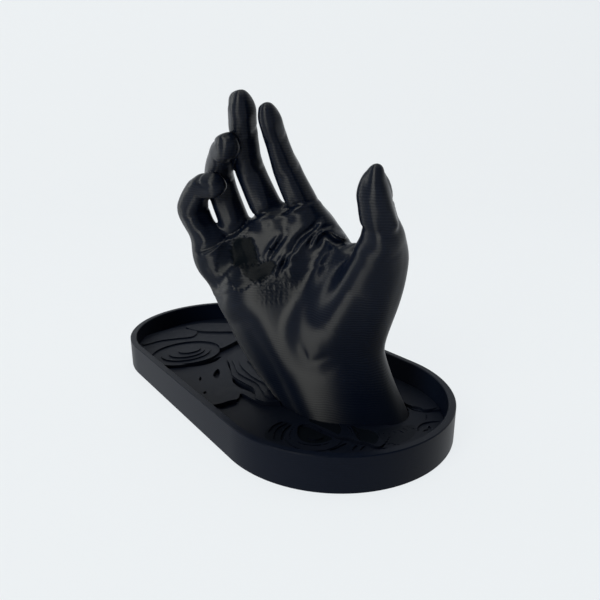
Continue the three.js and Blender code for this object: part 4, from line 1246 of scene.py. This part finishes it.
class STAND_OT_screws(bpy.types.Operator):
    """Builds the two screws that hold the hand from below"""
    bl_idname = "stand.screws"
    bl_label = "Wrist screws"

    def execute(self, context):
        low, high = SCREW_LOW[2], SCREW_HIGH[2]
        material = zinc_plated_steel(context.scene.stand_colours)
        head = low + SCREW_HEAD_HEIGHT
        pitch, depth, drive = 1.4, 0.35, 1.5
        thread = np.linspace(head + 0.3, high - 2, 110)
        profile = [(0, low + 1.2), (drive, low + 1.2), (drive, low + 0.15), (drive + 0.2, low)]
        profile += [(SCREW_HEAD_RADIUS - 0.7, low), (SCREW_HEAD_RADIUS - 0.15, low + 0.35),
                    (SCREW_HEAD_RADIUS, low + 0.9), (SCREW_HEAD_RADIUS - 0.1, head), (SCREW_RADIUS, head)]
        profile += [(SCREW_RADIUS, z) for z in thread]
        profile += [(1.2, high - 1), (0.5, high - 0.2), (0, high)]

        def shape(angle, radius, height):
            """A hexagonal drive, and a thread that turns once in each pitch."""
            edge = cos(pi / 6) / np.cos(angle % (pi / 3) - pi / 6)
            inner = (radius > 0) & (radius <= drive) & (height < low + 1.3)
            wind = (height / pitch - angle / (2 * pi)) % 1
            on_thread = (height > head + 0.2) & (height < high - 1.9) & (radius > 1)
            groove = depth * np.clip(np.abs(wind - 0.5) * 4 - 0.6, 0, 1)
            return np.where(inner, radius * edge, np.where(on_thread, radius - groove, radius))

        for name in SCREWS:
            points, faces = turned(profile, 36, node_middle(name), shape)
            put_mesh("stand_" + name, points, faces, material, name, sharp=35)
        return {"FINISHED"}


class STAND_OT_feet(bpy.types.Operator):
    """Builds the four rubber feet"""
    bl_idname = "stand.feet"
    bl_label = "Feet"

    def execute(self, context):
        material = moulded_rubber(context.scene.stand_colours)
        radius, top, rounding, chamfer = FOOT_RADIUS, FOOT_TOP, 0.25, 0.1
        edge = [(radius - rounding + rounding * sin(t), rounding - rounding * cos(t))
                for t in np.linspace(0, pi / 2, 6)]
        profile = [(0, 0), (radius * 0.5, 0), *edge]
        profile += [(radius, top - chamfer), (radius - chamfer, top), (0, top)]
        for name in FEET:
            points, faces = turned(profile, 64, node_middle(name))
            put_mesh("stand_" + name, points, faces, material, name, sharp=50)
        return {"FINISHED"}


# The stage, in metres

CAMERA_PLACE = Vector((0.223806, -0.146036, 0.127364))
CAMERA_AIM = Vector((0.043499, -0.012437, 0.060000))
CAMERA_LENS = 31.8

# Right, ahead and up, as the camera looks at the stand, and the point that the lamps face
RIGHT = Vector((0.5953, 0.8035, 0))
AHEAD = Vector((-0.8035, 0.5953, 0))
UP = Vector((0, 0, 1))
STAND_MIDDLE = Vector((0.03, 0, 0.06))

# Softboxes: place to the right of, ahead of and above that point, width and height, and watts.
# The tall key stands far behind the camera on its left and gives the hand its long highlights
SOFTBOXES = {
    "key": ((-1.25, -1.4, 0.85), (0.9, 1.5), 36),
    "left": ((-2.1, 0.6, 0.4), (0.7, 0.5), 7),
    "top": ((0, 0.3, 2), (1.2, 1.2), 11),
}
LAMP_COLOUR = (1, 0.99, 0.88)

# The world is dark behind the camera and pale ahead of it
WORLD_COLOUR = (0.95, 1, 0.98, 1)
WORLD_DARK, WORLD_PALE = 0.07, 0.85

# The backdrop: half its width, how far the floor runs to both sides, the bend and the wall's top
SWEEP_HALF, FLOOR_START, FLOOR_END, SWEEP_BEND, SWEEP_TOP = 3, -2.5, 0.75, 0.45, 2.2


def add_softbox(name, place, size, power):
    """A rectangular area lamp that faces the stand."""
    right, ahead, up = place
    place = STAND_MIDDLE + RIGHT * right + AHEAD * ahead + UP * up
    lamp = bpy.data.lights.new(name, "AREA")
    lamp.shape = "RECTANGLE"
    lamp.size, lamp.size_y = size
    lamp.energy = power
    lamp.color = LAMP_COLOUR
    holder = bpy.data.objects.new(name, lamp)
    holder.location = place
    holder.rotation_euler = (STAND_MIDDLE - place).to_track_quat("-Z", "Y").to_euler()
    bpy.context.scene.collection.objects.link(holder)


def add_camera():
    camera = bpy.data.cameras.new("camera")
    camera.lens = CAMERA_LENS
    camera.sensor_width = 36
    camera.clip_start, camera.clip_end = 0.01, 20
    holder = bpy.data.objects.new("camera", camera)
    holder.location = CAMERA_PLACE
    holder.rotation_euler = (CAMERA_AIM - CAMERA_PLACE).to_track_quat("-Z", "Y").to_euler()
    bpy.context.scene.collection.objects.link(holder)
    bpy.context.scene.camera = holder


def studio_world():
    """A world whose strength rises smoothly along the camera's way of looking."""
    world = bpy.data.worlds.new("studio")
    world.use_nodes = True
    tree = world.node_tree
    place = add_node(tree, "ShaderNodeTexCoord").outputs["Generated"]
    depth = add_node(tree, "ShaderNodeVectorMath", [(0, place)], operation="DOT_PRODUCT")
    depth.inputs[1].default_value = AHEAD
    pale = add_node(tree, "ShaderNodeMapRange", [("Value", depth.outputs["Value"])],
                    interpolation_type="SMOOTHSTEP", From_Min=-0.25, From_Max=0.35,
                    To_Min=WORLD_DARK, To_Max=WORLD_PALE)
    tree.links.new(tree.nodes["Background"].inputs["Strength"], pale.outputs[0])
    tree.nodes["Background"].inputs["Color"].default_value = WORLD_COLOUR
    return world


def add_backdrop(material):
    """A sheet of paper: a level floor, a quarter turn upwards and a wall, all swept sideways."""
    run = np.linspace(-SWEEP_HALF, SWEEP_HALF, 25)
    bend = np.linspace(0, pi / 2, 13)
    back = [(d, 0.0) for d in np.linspace(FLOOR_START, FLOOR_END, 12)]
    back += [(FLOOR_END + SWEEP_BEND * sin(t), SWEEP_BEND - SWEEP_BEND * cos(t)) for t in bend[1:]]
    back += [(FLOOR_END + SWEEP_BEND, h) for h in np.linspace(0.6, SWEEP_TOP, 6)]
    back = np.array(back)
    spot = (run[:, None, None] * np.array(RIGHT) + back[None, :, 0, None] * np.array(AHEAD)
            + back[None, :, 1, None] * np.array(UP))
    rows, columns = spot.shape[:2]
    corner = (np.arange(rows - 1)[:, None] * columns + np.arange(columns - 1)).ravel()
    quads = np.stack([corner, corner + columns, corner + columns + 1, corner + 1], 1)
    mesh = bpy.data.meshes.new("backdrop")
    mesh.from_pydata(spot.reshape(-1, 3).tolist(), [], quads.tolist())
    mesh.shade_smooth()
    mesh.materials.append(material)
    sweep = bpy.data.objects.new("backdrop", mesh)
    bpy.context.scene.collection.objects.link(sweep)


class STAND_OT_stage(bpy.types.Operator):
    """Builds the pale floor and backdrop, the softboxes, the world and the camera"""
    bl_idname = "stand.stage"
    bl_label = "Stage"

    def execute(self, context):
        context.scene.view_settings.view_transform = "Standard"
        add_camera()
        for name, (place, size, power) in SOFTBOXES.items():
            add_softbox(name, place, size, power)
        context.scene.world = studio_world()
        add_backdrop(backdrop_paper(context.scene.stand_colours))
        return {"FINISHED"}


class STAND_PT_panel(bpy.types.Panel):
    bl_idname = "STAND_PT_panel"
    bl_label = "Jewelry Stand"
    bl_space_type = "VIEW_3D"
    bl_region_type = "UI"
    bl_category = "Jewelry Stand"

    def draw(self, context):
        for group in (context.scene.stand_sizes, context.scene.stand_colours):
            for name in group.__annotations__:
                self.layout.prop(group, name)
        for operator in OPERATORS:
            self.layout.operator(operator.bl_idname)


OPERATORS = (
    STAND_OT_stage, STAND_OT_tray, STAND_OT_relief_floor, STAND_OT_hand, STAND_OT_screws, STAND_OT_feet)
CLASSES = (StandSizes, StandColours, *OPERATORS, STAND_PT_panel)


def register():
    for cls in CLASSES:
        bpy.utils.register_class(cls)
    bpy.types.Scene.stand_sizes = bpy.props.PointerProperty(type=StandSizes)
    bpy.types.Scene.stand_colours = bpy.props.PointerProperty(type=StandColours)


def unregister():
    del bpy.types.Scene.stand_sizes
    del bpy.types.Scene.stand_colours
    for cls in reversed(CLASSES):
        bpy.utils.unregister_class(cls)


def main():
    register()
    bpy.ops.stand.stage()
    bpy.ops.stand.tray()
    bpy.ops.stand.relief_floor()
    bpy.ops.stand.hand()
    bpy.ops.stand.screws()
    bpy.ops.stand.feet()


if __name__ == "__main__":
    main()
